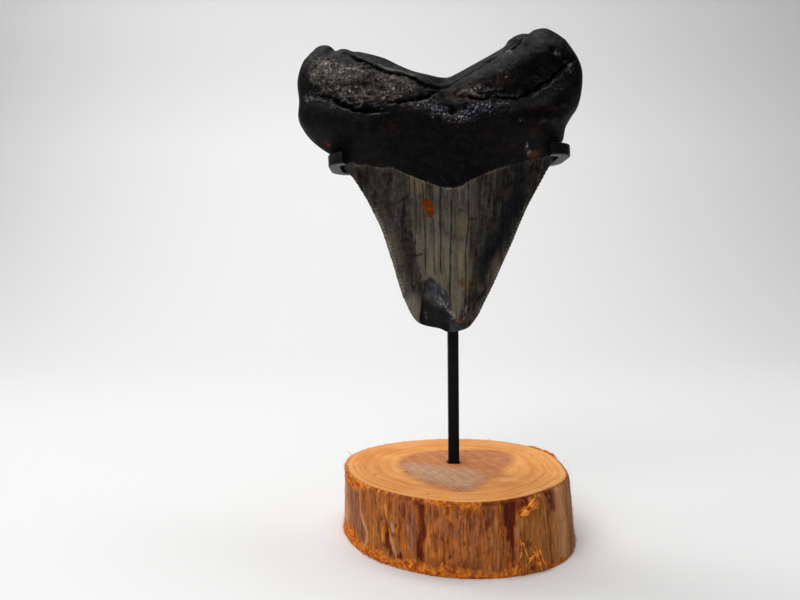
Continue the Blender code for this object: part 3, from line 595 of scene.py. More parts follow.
def fine_relief(x, z, depth, plane, paints, chevron):
    """How far the surface stands out from its smooth form, in millimetres."""
    crown, porous = paints["crown"], paints["porous"]
    bone = 0.3 * lumps(plane, 6.0, 41) + 0.2 * lumps(plane, 2.6, 42) + 0.1 * lumps(plane, 1.1, 43)
    folds, waves = folded(x, z, plane)
    bone += 0.34 * folds * (1 - 3 * np.abs(waves))
    holes = smooth(0.45, 0.15, grains(plane, 1.2, 44)) + 0.6 * smooth(0.42, 0.12, grains(plane, 0.8, 45))
    bone += porous * (0.16 * lumps(plane, 0.62, 46) + 0.28 * lumps(plane, 1.5, 55) - 0.34 * holes)
    bone += 0.04 * lumps(plane, 0.6, 53)
    band = smooth(9.0, 2.0, z - table(chevron, x))
    bone = bone * (1 - 0.75 * band) + 0.05 * band * lumps(plane, (0.6, 6.0, 1.0), 47)
    enamel = 0.1 * lumps(plane, (6.0, 14.0, 1.0), 48) + 0.035 * lumps(plane, (0.9, 16.0, 1.0), 49)
    enamel += 0.16 - 0.13 * np.clip(paints["streak"], 0, 1)
    relief = (1 - crown) * bone + crown * enamel
    relief -= 0.16 * hump(z - table(chevron, x) - 0.25, 0.3) * smooth(0.5, 3.0, depth)
    if "chip" in paints:
        ripple = 0.07 * np.cos(np.hypot(x + 6.0, z - 77.0) * 2.6) + 0.22 * lumps(plane, (1.5, 3.0, 1.0), 50)
        ripple += 0.1 * lumps(plane, 0.9, 54) - 0.35 * smooth(67.5, 66.0, z)
        flecks = 0.2 * np.clip(paints["cream"], 0, 1)
        relief += paints["chip"] * (ripple - SPALL_DEPTH) + flecks * paints["chip"]
    return relief * smooth(0.0, 3.4 - 1.8 * crown, depth)


def face_points(across, up, back):
    """Positions and paint masks of grid points on one face of the tooth."""
    x, z = outline_patch(across, up).T
    side = 2 * across - 1
    depth = outline_distance(x, z)
    plane = np.stack([x, z, np.full(len(x), BACK_NOISE if back else 0.0)], axis=1)
    middle = table(EDGE_PLANE, z)
    if back:
        paints = labial_paints(x, z, depth, plane)
        swell = middle + back_swell(side, x, z, depth)
        y = swell + fine_relief(x, z, depth, plane, paints, BACK_CHEVRON) - BACK_INSET
        y = np.clip(y, middle + EDGE_HALF, LABIAL_FACE + LOBE_BACK)
    else:
        paints = lingual_paints(x, z, depth, plane)
        swell = front_swell(side, x, z, depth) + fine_relief(x, z, depth, plane, paints, CHEVRON)
        y = middle - np.maximum(swell - hollow(x, z, plane) * round_off(depth, 3.0), EDGE_HALF)
    return np.stack([x, y, z], axis=1), paints


def grid_shares(columns, rows):
    """Shares across and up of every point of a grid over the outline, row by row."""
    climb, wide = np.meshgrid(np.linspace(0, 1, rows + 1), np.linspace(-1, 1, columns + 1), indexing="ij")
    wide = (1 - BUNCHING) * wide + BUNCHING * np.sin(wide * math.pi / 2)
    return 0.5 + 0.5 * wide.ravel(), np.interp(climb.ravel(), *np.array(ROW_PACE).T)


def grid_quads(columns, rows):
    """Faces of a grid, anticlockwise as seen from its front."""
    wide = columns + 1
    start = (np.arange(rows)[:, None] * wide + np.arange(columns)).ravel()
    return np.stack([start, start + 1, start + wide + 1, start + wide], axis=1)


def grid_border(columns, rows):
    """Indices of a grid's border, anticlockwise from its lower left corner."""
    wide = columns + 1
    right = [row * wide + columns for row in range(rows)]
    top = [rows * wide + column for column in range(columns, 0, -1)]
    left = [row * wide for row in range(rows, 0, -1)]
    return np.array(list(range(columns)) + right + top + left)


def make_tooth():
    """The tooth as one closed mesh: a fine front and a coarser back, joined round a serrated edge."""
    shares = grid_shares(TOOTH_COLUMNS, TOOTH_ROWS)
    loop = grid_border(TOOTH_COLUMNS, TOOTH_ROWS)
    front, front_paints = face_points(*shares, False)
    back, back_paints = face_points(*grid_shares(TOOTH_COLUMNS // 2, TOOTH_ROWS // 2), True)
    behind, behind_paints = face_points(shares[0][loop], shares[1][loop], True)
    coarse = grid_border(TOOTH_COLUMNS // 2, TOOTH_ROWS // 2)
    rim = 0.5 * (front[loop] + behind)
    heading = np.roll(rim, -1, axis=0) - np.roll(rim, 1, axis=0)
    outward = unit(np.stack([heading[:, 2], np.zeros(len(rim)), -heading[:, 0]], axis=1))
    cutting = smooth(108.5, 105.5, rim[:, 2]) * smooth(63.0, 66.0, rim[:, 2])
    knap = SERRATION * cutting * notches(rim[:, 2]) ** 1.4 * (0.75 + 0.5 * lumps(rim, 5.0, 61))
    rim += outward * (0.16 * (1 - cutting) + 0.02 + knap)[:, None]
    front[loop] += outward * (0.7 * knap)[:, None]
    back[coarse] += outward[::2] * (0.7 * knap[::2])[:, None]
    middle = len(front) + len(back) + np.arange(len(loop))
    after, after_middle = np.roll(loop, -1), np.roll(middle, -1)
    faces = grid_quads(TOOTH_COLUMNS, TOOTH_ROWS).tolist()
    faces += (grid_quads(TOOTH_COLUMNS // 2, TOOTH_ROWS // 2)[:, ::-1] + len(front)).tolist()
    faces += np.stack([loop, middle, after_middle, after], axis=1).tolist()
    first, between, last = middle[::2], middle[1::2], np.roll(middle, -2)[::2]
    inner = coarse + len(front)
    faces += np.stack([first, inner, np.roll(inner, -1), last, between], axis=1).tolist()
    paints = {}
    for name in front_paints:
        spare, spare_rim = np.zeros(len(back)), np.zeros(len(rim))
        edge = np.maximum(front_paints[name][loop], behind_paints.get(name, spare_rim))
        paints[name] = np.concatenate([front_paints[name], back_paints.get(name, spare), edge])
    return finished_mesh("tooth", np.vstack([front, back, rim]), faces, paints)


def placed(name, data):
    """A new object of the scene, at the origin."""
    made = bpy.data.objects.new(name, data)
    bpy.context.scene.collection.objects.link(made)
    return made


def finished_mesh(name, points, faces, paints=None):
    """A smooth-shaded object from positions in millimetres, with its masks as attributes."""
    mesh = bpy.data.meshes.new(name)
    mesh.from_pydata((np.asarray(points) * MM).tolist(), [], faces)
    mesh.validate()
    for paint, values in (paints or {}).items():
        layer = mesh.attributes.new(paint, "FLOAT", "POINT")
        layer.data.foreach_set("value", np.clip(values, 0.0, 1.0).astype(np.float32))
    mesh.shade_smooth()
    return placed(name, mesh)


# --------------------------------------------------------------------------- wood slice form
SLICE_HEIGHT = 19.5
SLICE_CENTRE = (0.6, -3.0)
SLICE_RADIUS = 32.3  # mean radius
SLICE_COLUMNS = 640
FRINGE = 0.35  # how far the foot flares
SOCKET_DEPTH = 12.0
BAR = 3.2  # side of the square steel bar
PITH = (-1.0, -1.5)  # centre of the growth rings
BARK_TURN = 1.4  # degrees over which one strip of bark gives way to the next
# Outline at the rim and at the foot, each pair an angle in degrees, -90 the front, and a radius
RIM_OUTLINE = [
    (-180, 33.4), (-154, 32.2), (-125, 31.3), (-100, 31.9), (-88, 32.4), (-65, 31.9), (-48, 31.6),
    (-26, 32.5), (0, 31.8), (26, 33.2), (57, 32.8), (86, 31.4), (105, 31.5), (122, 32.5), (142, 34),
    (162, 34.5),
]
FOOT_OUTLINE = [
    (-180, 33.7), (-165, 32.3), (-138, 30.9), (-119, 30.2), (-88, 30.9), (-66, 32.2), (-48, 33.6),
    (-30, 34), (-8, 33.7), (24, 33.5), (57, 33), (88, 31.8), (115, 32.3), (142, 33.8), (162, 34.3),
]
# Bark, each strip a start and an end angle and how far it stands out
BARK = [
    (-180, -168, -0.1), (-168, -151.2, -0.4), (-151.2, -124.1, 0.35), (-124.1, -115.6, 0.15),
    (-115.6, -111, -0.6), (-111, -92, 0.15), (-92, -75, 0), (-75, -68, -0.7), (-68, -49.6, 0.7),
    (-49.6, -48.2, -0.1), (-48.2, -27, 0.45), (-27, -8, 0.1), (-8, 14, 0.2), (14, 32, 0.5),
    (32, 40, -0.6), (40, 71, 0.2), (71, 79, -0.5), (79, 104, 0.6), (104, 112, -0.4), (112, 139, 0.3),
    (139, 147, -0.6), (147, 172, 0.3),
]
# Dark red inner bark left bare: start and end angle, lower and upper height, strength. The strips just above
# the torn tuft, from -67.6 to -55.6 degrees and 16.4 to 19.6 mm high, are its painted shadow
BARE_AND_TUFT_SHADOW = [
    (-114.2, -110.9, 7.4, 18.6, 0.95), (-114.6, -112, 3.2, 9, 0.95), (-122.4, -120.2, 13, 18.2, 0.85),
    (-120.6, -119.8, 7, 14, 0.6), (-132, -128.2, 4.2, 8, 0.95), (-134, -129, 4.6, 6.2, 0.7),
    (-129.8, -127.6, 2.8, 5.4, 0.95), (-148.2, -144.8, 12.2, 17.8, 0.5), (-125, -123.4, 1.6, 4.4, 0.8),
    (-73.6, -67.8, 12.5, 18.8, 1), (-72.2, -68.2, 8.5, 13.5, 1), (-70.8, -67.9, 5, 9.5, 1),
    (-69.2, -67, 3.2, 6.2, 0.9), (-67.6, -62.4, 16.4, 19.6, 1), (-63.4, -55.6, 18.2, 19.6, 1),
    (-51, -42.4, 17.6, 19.6, 1), (-48.2, -42.8, 15.8, 18.4, 1), (-46.6, -43, 14.2, 17, 1),
    (-45.2, -43.4, 13, 15.2, 1), (-50, -47.9, 1.5, 14.2, 1), (-94, -76, 15.4, 18, 0.35),
    (-82.6, -79, 13.4, 15.4, 0.7), (-87.5, -84.5, 5, 8.5, 0.4), (-108, -88, 2.5, 4.2, 0.4),
    (-105.6, -103, 15, 17.6, 0.5), (-99.6, -98.2, 4.6, 14.4, 0.5), (-89.9, -88.8, 12.6, 16.4, 0.8),
    (32, 40, 1.5, 18.5, 0.9), (71, 79, 2, 18.5, 0.9), (104, 112, 1.5, 18, 0.8),
    (139, 147, 2.5, 18.5, 0.9),
]
# Smooth mauve inner bark, in the same way
MAUVE = [
    (-168, -151.4, 5.4, 16.2, 1), (-157, -147.4, 3.2, 10.6, 1), (-33.5, -8, 1, 19, 0.95),
    (-119.6, -115.2, 5.6, 17.2, 0.9), (-92, -76.5, 3, 16.5, 0.4), (-98, -92.5, 7, 16.5, 0.35),
    (-106.4, -101, 9, 16.5, 0.4), (-134.6, -132.6, 12.4, 14.4, 0.85), (12, 18, 1, 18, 0.6),
    (60, 71, 2, 18, 0.6), (121, 130, 2, 18, 0.6), (167, 180, 3, 18, 0.7),
]
# Pale peeled plates, in the same way
PLATES = [
    (-146.4, -133.2, 3.8, 18.2, 0.45), (-130, -127.4, 11, 17, 0.5), (-127.9, -124.8, 4.4, 8, 1),
    (-127, -125.6, 3, 5.2, 1), (-110, -107.4, 4, 17.6, 0.4), (-67.4, -49.4, 3, 15.6, 0.9),
    (-60, -50.4, 14, 18.8, 0.8), (-48.2, -34, 1.6, 18.8, 1), (-92, -84, 3.6, 9, 0.4),
    (-80.6, -75.4, 5, 15, 0.4), (-6, 12, 2, 18, 0.6), (18, 31, 2, 18, 0.8), (42, 58, 2, 17, 0.5),
    (80, 103, 2.5, 18, 0.8), (113, 120, 2, 17.5, 0.5), (148, 166, 2.5, 17, 0.7),
]
# Gouges through the bark: angle, height, half width in degrees, half height and depth. Each gouge is also
# painted dark, as painted shade
GOUGES = [
    (-133.8, 11.8, 1.3, 0.6, 0.6), (-131.4, 10.6, 0.9, 2, 0.9), (-131, 8.2, 0.8, 1.4, 0.8),
    (-129.9, 6.2, 0.7, 1.8, 0.6), (-124.3, 3, 1, 1.5, 0.9), (-125.4, 11.3, 0.8, 0.9, 0.6),
    (-128.6, 4.4, 0.5, 1.6, 0.5), (-105.2, 6.6, 0.55, 2.3, 0.6), (-103.4, 10.6, 0.35, 3.5, 0.3),
    (-100.1, 17.9, 0.9, 0.4, 0.7), (-99.7, 15.8, 0.6, 0.4, 0.4), (-107.6, 13.4, 0.35, 1.4, 0.2),
    (-132.4, 14.6, 0.4, 1.2, 0.3), (-142, 7, 0.5, 2, 0.35), (-139.6, 13.4, 0.5, 2.2, 0.35),
    (-145.4, 14.6, 0.4, 2.2, 0.3), (-136.4, 9, 0.4, 2.4, 0.3), (-122.6, 15.8, 0.4, 1.4, 0.3),
    (-97, 11, 0.4, 2.2, 0.25), (-86, 12, 0.5, 1.6, 0.3), (-80.7, 10.1, 0.7, 0.4, 0.6),
    (-93.2, 13.6, 0.7, 0.9, 0.4), (-89.4, 13.8, 0.45, 1.4, 0.3), (-87.6, 2.4, 0.9, 0.6, 0.6),
    (-74.9, 10.6, 0.8, 1, 0.5), (-71.4, 17.6, 0.4, 2, 0.3), (-61.4, 7.4, 2, 1.1, 0.7),
    (-59.6, 1.4, 2.2, 0.9, 0.8), (-56.2, 2.6, 0.8, 1.4, 0.7), (-63, 12.8, 0.5, 0.3, 0.3),
    (-61.4, 14.2, 0.5, 0.3, 0.3), (-118.2, 8.4, 0.3, 1.6, 0.2), (-137.4, 5.4, 0.4, 1.2, 0.3),
    (-134.8, 16, 0.4, 1.6, 0.3), (-111.6, 3, 0.7, 0.6, 0.4), (55, 8, 1.2, 1.6, 0.6),
    (125, 12, 1.4, 2, 0.7), (8, 11, 0.7, 1.4, 0.5), (96, 6, 1, 1.2, 0.5),
]
# Torn tufts: angle, height, half width in degrees, half height and strength
TUFTS = [
    (-66, 16, 1.3, 0.9, 1), (-63.6, 16.9, 1.7, 0.9, 1), (-60.6, 17.7, 2.1, 0.9, 1),
    (-57.4, 18.3, 2, 0.8, 1), (-94.2, 15.2, 1.2, 1.2, 0.35), (-92, 6.5, 0.9, 2.2, 0.3),
    (-83, 5.5, 1.2, 2, 0.3), (-122.2, 8.4, 0.6, 3.4, 0.6), (-56.8, 3, 2.4, 2.2, 0.6),
    (44, 16.5, 4, 1.4, 0.8), (96, 16, 5, 1.6, 0.8),
]
# Pale edges of peeled strips, as (angle, height): path, half width and strength. The broad soft line near -39
# degrees is painted light on the front right of the bark
PEELS_AND_PAINTED_LIGHT = [
    ([(-149, 18.4), (-150.4, 15.9), (-150.5, 13.1), (-149.6, 10.4)], 0.8, 0.85),
    ([(-149, 10.8), (-147.2, 8.8), (-145.3, 6.7), (-145.7, 4.6), (-146.6, 2.8)], 0.7, 0.95),
    ([(-177, 15.6), (-173.4, 11), (-172, 5.8)], 5, 0.85), ([(-131.9, 16.2), (-131.4, 14.8)], 0.35, 0.8),
    ([(-127.5, 11.2), (-127, 9.8)], 0.65, 1), ([(-127.9, 8), (-127.2, 5.4), (-126.5, 3)], 0.35, 0.8),
    ([(-133.2, 9.2), (-133, 6.2)], 0.5, 0.4), ([(-119.2, 12), (-119.2, 6)], 0.3, 0.4),
    ([(-67.4, 15), (-67.7, 9), (-67, 4)], 0.4, 0.35), ([(-43, 17.6), (-45.4, 8)], 0.35, 0.35),
    ([(-36, 18.4), (-35, 6)], 0.7, 0.5), ([(-38.6, 18), (-38.6, 10), (-39.5, 3)], 4.6, 0.72),
    ([(-26, 15), (-20, 8), (-18, 3)], 6, 0.4), ([(-110.4, 9), (-110.2, 4)], 0.35, 0.3),
]
# Top of the torn fringe at the foot, by angle
FRINGE_TOP = [
    (-180, 4.4), (-175, 4), (-162, 4.2), (-149, 2.6), (-141, 2.8), (-134, 3.3), (-126.6, 2.4),
    (-119, 3.2), (-111.6, 2.7), (-103.6, 2.9), (-96.4, 2.6), (-87, 1.7), (-76, 1.2), (-63, 0.9),
    (-50, 0.8), (-20, 0.9), (40, 2), (110, 2.6), (180, 4.4),
]
# How much of the brow under the rim is torn orange wood, by angle
BROW_TORN = [
    (-180, 1), (-150, 1), (-141, 0.5), (-128, 0.35), (-114, 0.3), (-108, 0.72), (-92, 0.72), (-84, 0.35),
    (-70, 0.2), (-60, 0.1), (-54, 0.3), (-46, 0.15), (-20, 0.3), (40, 0.6), (110, 0.8), (180, 1),
]
# Lower edge of that brow, by angle
BROW_FOOT = [
    (-180, 16.4), (-166, 15.8), (-154.4, 16.4), (-148, 18.4), (-141, 18.9), (-130.6, 18.4), (-121, 18.5),
    (-109, 18.4), (-97, 18.1), (-81, 18.5), (-67, 18.8), (-52, 19.2), (-20, 19.2), (60, 18.6),
    (180, 16.4),
]
# Heartwood on the sawn faces and the greyer part of it, as closed outlines (x, y)
HEARTWOOD = [
    (-16.9, -3), (-16.6, 1), (-14.8, 6), (-11.6, 9.6), (-8.4, 12), (-3.2, 13.8), (2, 13), (7, 13.6),
    (12, 13.2), (16, 12.2), (18.6, 9.8), (19.3, 6), (18.2, 0.6), (16.5, -4), (13.6, -8), (13, -11),
    (14.4, -14.6), (9.8, -15.8), (7.2, -18.6), (5.2, -22), (3.6, -24.6), (1, -26.8), (-2.8, -26.6),
    (-6.5, -23.8), (-11, -18), (-14.9, -11.4), (-16.9, -3),
]
GREY_HEART = [
    (-16, -4.7), (-15.5, -0.6), (-11.5, -0.7), (-7.6, -2.5), (-2, -5.1), (3.5, -7.7), (6.7, -12.4),
    (5.5, -18.2), (4, -22.9), (1.2, -24.8), (-2.5, -22.7), (-5.9, -21.3), (-9.3, -17.8), (-12.3, -14.1),
    (-14.6, -9.5), (-16, -4.7),
]
# Rosy and amber places on the sawn faces: x, y, two radii and strength
ROSY = [
    (16.4, 0.2, 4, 2.6, 0.9), (13.3, 5.7, 4, 2.4, 0.8), (9.2, -1.3, 3.4, 2.2, 0.6),
    (-9, 8.6, 6, 2.2, 0.6), (-15.6, 1.6, 1.6, 4.6, 0.7), (0.6, -25.4, 3, 2.4, 0.8),
    (-8, -20.4, 5, 1.6, 0.7),
]
AMBER = [
    (-27, 3, 3, 9, 0.9), (-20, 12.6, 6, 4, 0.9), (-3, 19.6, 9, 2.4, 0.5), (11, -21, 6, 2.6, 0.9),
    (-21, -4, 3, 6, 0.5), (-13, 13.6, 5, 2.6, 0.6), (17, -14, 3.4, 3.4, 0.4), (-14, -24, 6, 2.6, 0.4),
]
# Dark specks on the sawn faces: x, y and radius
SPECKS = [
    (-23.7, -11.9, 0.6), (23.8, -9, 0.45), (-14.6, -9.4, 0.5), (-9.1, -28.3, 0.3), (10.6, 2.6, 0.35),
    (-6, 9, 0.4),
]
SAW_HEADING = (0.41, -0.91)  # direction of the saw's cuts
UNDERSIDE_NOISE = 40.0  # third place of the underside's noise, away from the upper face's 0
SAW_NOISE = 7.0  # and of the noise of the saw's cuts
SLICE_PAINTS = (
    "bare", "mauve", "plate", "peel", "pit", "torn", "thread",
    "heart", "grey", "rosy", "amber", "sawn", "age",
)
UNDERSIDE_DISH = 0.12  # how far the underside is hollowed inside its rim
SOCKET_LIP = 0.4  # depth of the first ring down the socket
UNDERSIDE_RINGS = 9
FACE_RINGS = 56
# Heights of the rings round the bark: closer at the foot and at the rim, even between them
FOOT_HEIGHTS = (0.0, 0.15, 0.4)
BARK_HEIGHTS = (0.7, 18.65, 58)
RIM_HEIGHTS = (18.95, 19.2, 19.38, SLICE_HEIGHT)


def round_table(pairs, angle):
    """Size at an angle in degrees, from a closed list of pairs."""
    return table([(at + turn, size) for turn in (-360, 0, 360) for at, size in pairs], angle)


def inside(x, y, loop):
    """Signed distance into a closed outline: positive inside."""
    loop = np.array(loop, float)
    crossings = np.zeros(len(x), int)
    for (ax, ay), (bx, by) in zip(loop, loop[1:]):
        if by != ay:
            crossings += ((ay > y) != (by > y)) & (x < ax + (y - ay) * (bx - ax) / (by - ay))
    return np.where(crossings % 2 == 1, 1.0, -1.0) * distance(x, y, loop)


def window(value, low, high, soft):
    """1 between low and high, fading over soft at both ends."""
    return smooth(low - soft, low + soft, value) * smooth(high + soft, high - soft, value)


def bark_height(angle):
    """How far the bark stands out from the mean outline, angle in degrees."""
    out = np.zeros(len(angle))
    for start, end, height in BARK:
        out += height * (smooth(start, start + BARK_TURN, angle) - smooth(end, end + BARK_TURN, angle))
    return out


def strips(angle, height, places):
    """Strongest of several strips of bark at each point."""
    return strongest(
        most * window(angle, start, end, 0.5) * window(height, low, high, 0.7)
        for start, end, low, high, most in places
    )


def oval(angle, height, at, up, wide, high):
    """Soft oval on the bark, 1 in its middle."""
    return hump(np.hypot((angle - at) / wide, (height - up) / high), 1.0)


def ovals(angle, height, places):
    """Strongest of several soft ovals at each point of the bark."""
    return strongest(most * oval(angle, height, *place) for *place, most in places)


def bark_surface(turn, height):
    """Distance of the bark from the slice's centre, and its paint masks."""
    angle = np.degrees(turn)
    fold = np.stack([SLICE_RADIUS * np.cos(turn), SLICE_RADIUS * np.sin(turn), height], axis=1)

    def grain(wide, tall, seed):
        return lumps(fold, (wide, wide, tall), seed)

    threads, strands, broad = grain(0.45, 3.4, 85), grain(0.9, 7.0, 84), grain(2.4, 12.0, 83)
    ragged = angle + 1.0 * grain(3.0, 7.0, 81) + 0.8 * grain(1.0, 2.6, 82)
    tall = height + 1.3 * grain(1.1, 3.0, 73) + 0.5 * grain(0.4, 1.2, 74)
    small = grain(0.6, 0.6, 86) + 0.6 * grain(0.3, 0.5, 87)
    above_fringe = height - 0.9 * round_table(FRINGE_TOP, angle)
    fringe = smooth(0.3, -0.3, above_fringe + 0.8 * broad + 0.9 * strands + 1.1 * threads)
    brow = smooth(-0.25, 0.35, height - round_table(BROW_FOOT, angle) + 0.5 * strands + 0.5 * threads)
    torn_brow = brow * smooth(0.25, 0.75, round_table(BROW_TORN, angle) + 0.35 * strands + 0.25 * broad)
    torn = np.maximum.reduce([fringe, 0.92 * torn_brow, ovals(ragged, tall, TUFTS)])
    # Gouges painted dark as painted shade, with small dark specks of the bark.
    pit = ovals(ragged, height, GOUGES) + 0.7 * smooth(0.42, 0.7, grain(0.6, 2.6, 88))
    peel = drawn(ragged, height, PEELS_AND_PAINTED_LIGHT)
    rest = 1 - torn
    paints = {
        "bare": np.maximum(strips(ragged, tall, BARE_AND_TUFT_SHADOW), 0.7 * brow * (1 - 0.7 * torn_brow)) * rest,
        "mauve": strips(ragged, tall, MAUVE) * rest, "peel": peel * rest * (1 - 0.7 * brow),
        "plate": strips(ragged, tall, PLATES) * rest, "pit": pit * (1 - 0.6 * torn), "torn": torn,
        "thread": 0.5 + 0.5 * threads + 0.5 * strands,
    }
    body = smooth(0.0, 1.2, SLICE_HEIGHT - height) * smooth(0.0, 2.4, height)
    relief = bark_height(ragged) + 0.24 * broad + 0.2 * strands + 0.14 * threads
    relief -= sum(deep * oval(ragged, height, *place) for *place, deep in GOUGES)
    relief += 0.25 * peel + 0.5 * ovals(ragged, tall, TUFTS[:4]) * (1 + small)
    rise = height / SLICE_HEIGHT
    radius = rise * round_table(RIM_OUTLINE, angle) + (1 - rise) * round_table(FOOT_OUTLINE, angle)
    lip = 0.2 * np.clip(fringe + 0.6 * brow, 0, 1) * (0.2 + small) * smooth(0.0, 0.5, SLICE_HEIGHT - height)
    arris = 0.35 * smooth(0.5, 0.0, SLICE_HEIGHT - height) ** 2 + 0.25 * smooth(0.35, 0.0, height) ** 2
    return radius + relief * body + lip + FRINGE * smooth(2.4, 1.2, height) - arris, paints


def sawn_paints(flat, level, rim_line):
    """Masks of a sawn face's colours, level 0 above and 1 below."""
    x, y = flat.T
    plane = np.column_stack([x, y, np.full(len(x), UNDERSIDE_NOISE * level)])
    away = np.hypot(x - PITH[0], y - PITH[1])
    heading = np.arctan2(*(rim_line - PITH).T[::-1])
    order = np.argsort(heading)
    reach = np.hypot(*(rim_line - PITH).T)[order]
    whole = np.interp(np.arctan2(y - PITH[1], x - PITH[0]), heading[order], reach, period=2 * math.pi)
    ragged = 1.1 * lumps(plane, 3.4, 91) + 0.6 * lumps(plane, 1.1, 92) + 0.35 * lumps(plane, 0.4, 93)
    speck = sum(patch(x, y, at_x, at_y, size, 0.6 * size, 0.3 * ragged) for at_x, at_y, size in SPECKS)
    return {
        "sawn": 1.0, "age": np.clip(away / whole, 0, 1),
        "heart": smooth(-2.0, 1.4, inside(x, y, HEARTWOOD) + 0.7 * ragged),
        "grey": smooth(-3.2, 3.0, inside(x, y, GREY_HEART) + 1.0 * ragged),
        "rosy": patches(x, y, ROSY, 0.4 * ragged), "amber": patches(x, y, AMBER, 0.3 * ragged), "pit": speck,
    }


def tube_faces(count, rings, first=0):
    """Faces between rings of so many points each, the first ring starting at the given index."""
    here = np.arange(count)
    after = np.roll(here, -1)
    faces = []
    for low in range(first, first + count * (rings - 1), count):
        faces += np.stack([low + here, low + after, low + count + after, low + count + here], axis=1).tolist()
    return faces


def square_outline(turn, half):
    """Points of a square round the origin, in the given directions."""
    reach = half / np.maximum(np.abs(np.cos(turn)), np.abs(np.sin(turn)))
    return np.stack([reach * np.cos(turn), reach * np.sin(turn)], axis=1)


def make_slice():
    """The wood slice: bark, both sawn faces and the socket for the upright, as one closed mesh."""
    turn = np.linspace(-math.pi, math.pi, SLICE_COLUMNS, endpoint=False)
    circle = np.stack([np.cos(turn), np.sin(turn)], axis=1)
    centre = np.array(SLICE_CENTRE)
    rings, masks = [], {name: [] for name in SLICE_PAINTS}

    def add_ring(flat, height, paints):
        rings.append(np.column_stack([flat, np.broadcast_to(height, len(flat))]))
        for name, values in masks.items():
            values.append(np.broadcast_to(paints.get(name, 0.0), len(flat)).astype(float))

    low_line = centre + bark_surface(turn, np.zeros(SLICE_COLUMNS))[0][:, None] * circle
    high_line = centre + bark_surface(turn, np.full(SLICE_COLUMNS, SLICE_HEIGHT))[0][:, None] * circle
    for share in np.linspace(0.0, 1.0, UNDERSIDE_RINGS)[1:-1]:
        flat = share * low_line + (1 - share) * centre
        add_ring(flat, UNDERSIDE_DISH, sawn_paints(flat, 1, low_line))
    for height in np.concatenate([FOOT_HEIGHTS, np.linspace(*BARK_HEIGHTS), RIM_HEIGHTS]):
        radius, paints = bark_surface(turn, np.full(SLICE_COLUMNS, height))
        add_ring(centre + radius[:, None] * circle, height, paints)
    hole = square_outline(turn, BAR / 2 + GAP)
    along_saw, across_saw = np.array(SAW_HEADING), np.array([SAW_HEADING[1], -SAW_HEADING[0]])
    for share in np.linspace(1.0, 0.0, FACE_RINGS)[1:]:
        flat = share * high_line + (1 - share) * hole
        lines = np.column_stack([flat @ across_saw, flat @ along_saw, np.full(len(flat), SAW_NOISE)])
        saw = 0.03 * lumps(lines, (0.5, 14.0, 1.0), 95) + 0.02 * lumps(lines, 1.2, 96)
        height = SLICE_HEIGHT + saw * smooth(0.0, 0.06, min(share, 1 - share))
        add_ring(flat, height, sawn_paints(flat, 0, high_line))
    socket_floor = SLICE_HEIGHT - SOCKET_DEPTH - GAP
    # The socket's walls are painted dark: painted shade in the hole.
    for height in (SLICE_HEIGHT - SOCKET_LIP, socket_floor):
        add_ring(hole, height, {"pit": 1.0, "sawn": 1.0})
    points = np.vstack([[[*centre, UNDERSIDE_DISH]], *rings, [[0.0, 0.0, socket_floor]]])
    last = 1 + (len(rings) - 1) * SLICE_COLUMNS
    sides = [(a, (a + 1) % SLICE_COLUMNS) for a in range(SLICE_COLUMNS)]
    faces = [[0, b + 1, a + 1] for a, b in sides] + tube_faces(SLICE_COLUMNS, len(rings), 1)
    faces += [[last + a, last + b, len(points) - 1] for a, b in sides]
    paints = {}
    for name, values in masks.items():
        paints[name] = np.concatenate([values[0][:1], *values, values[-1][:1]])
    return finished_mesh("wood_slice", points, faces, paints)


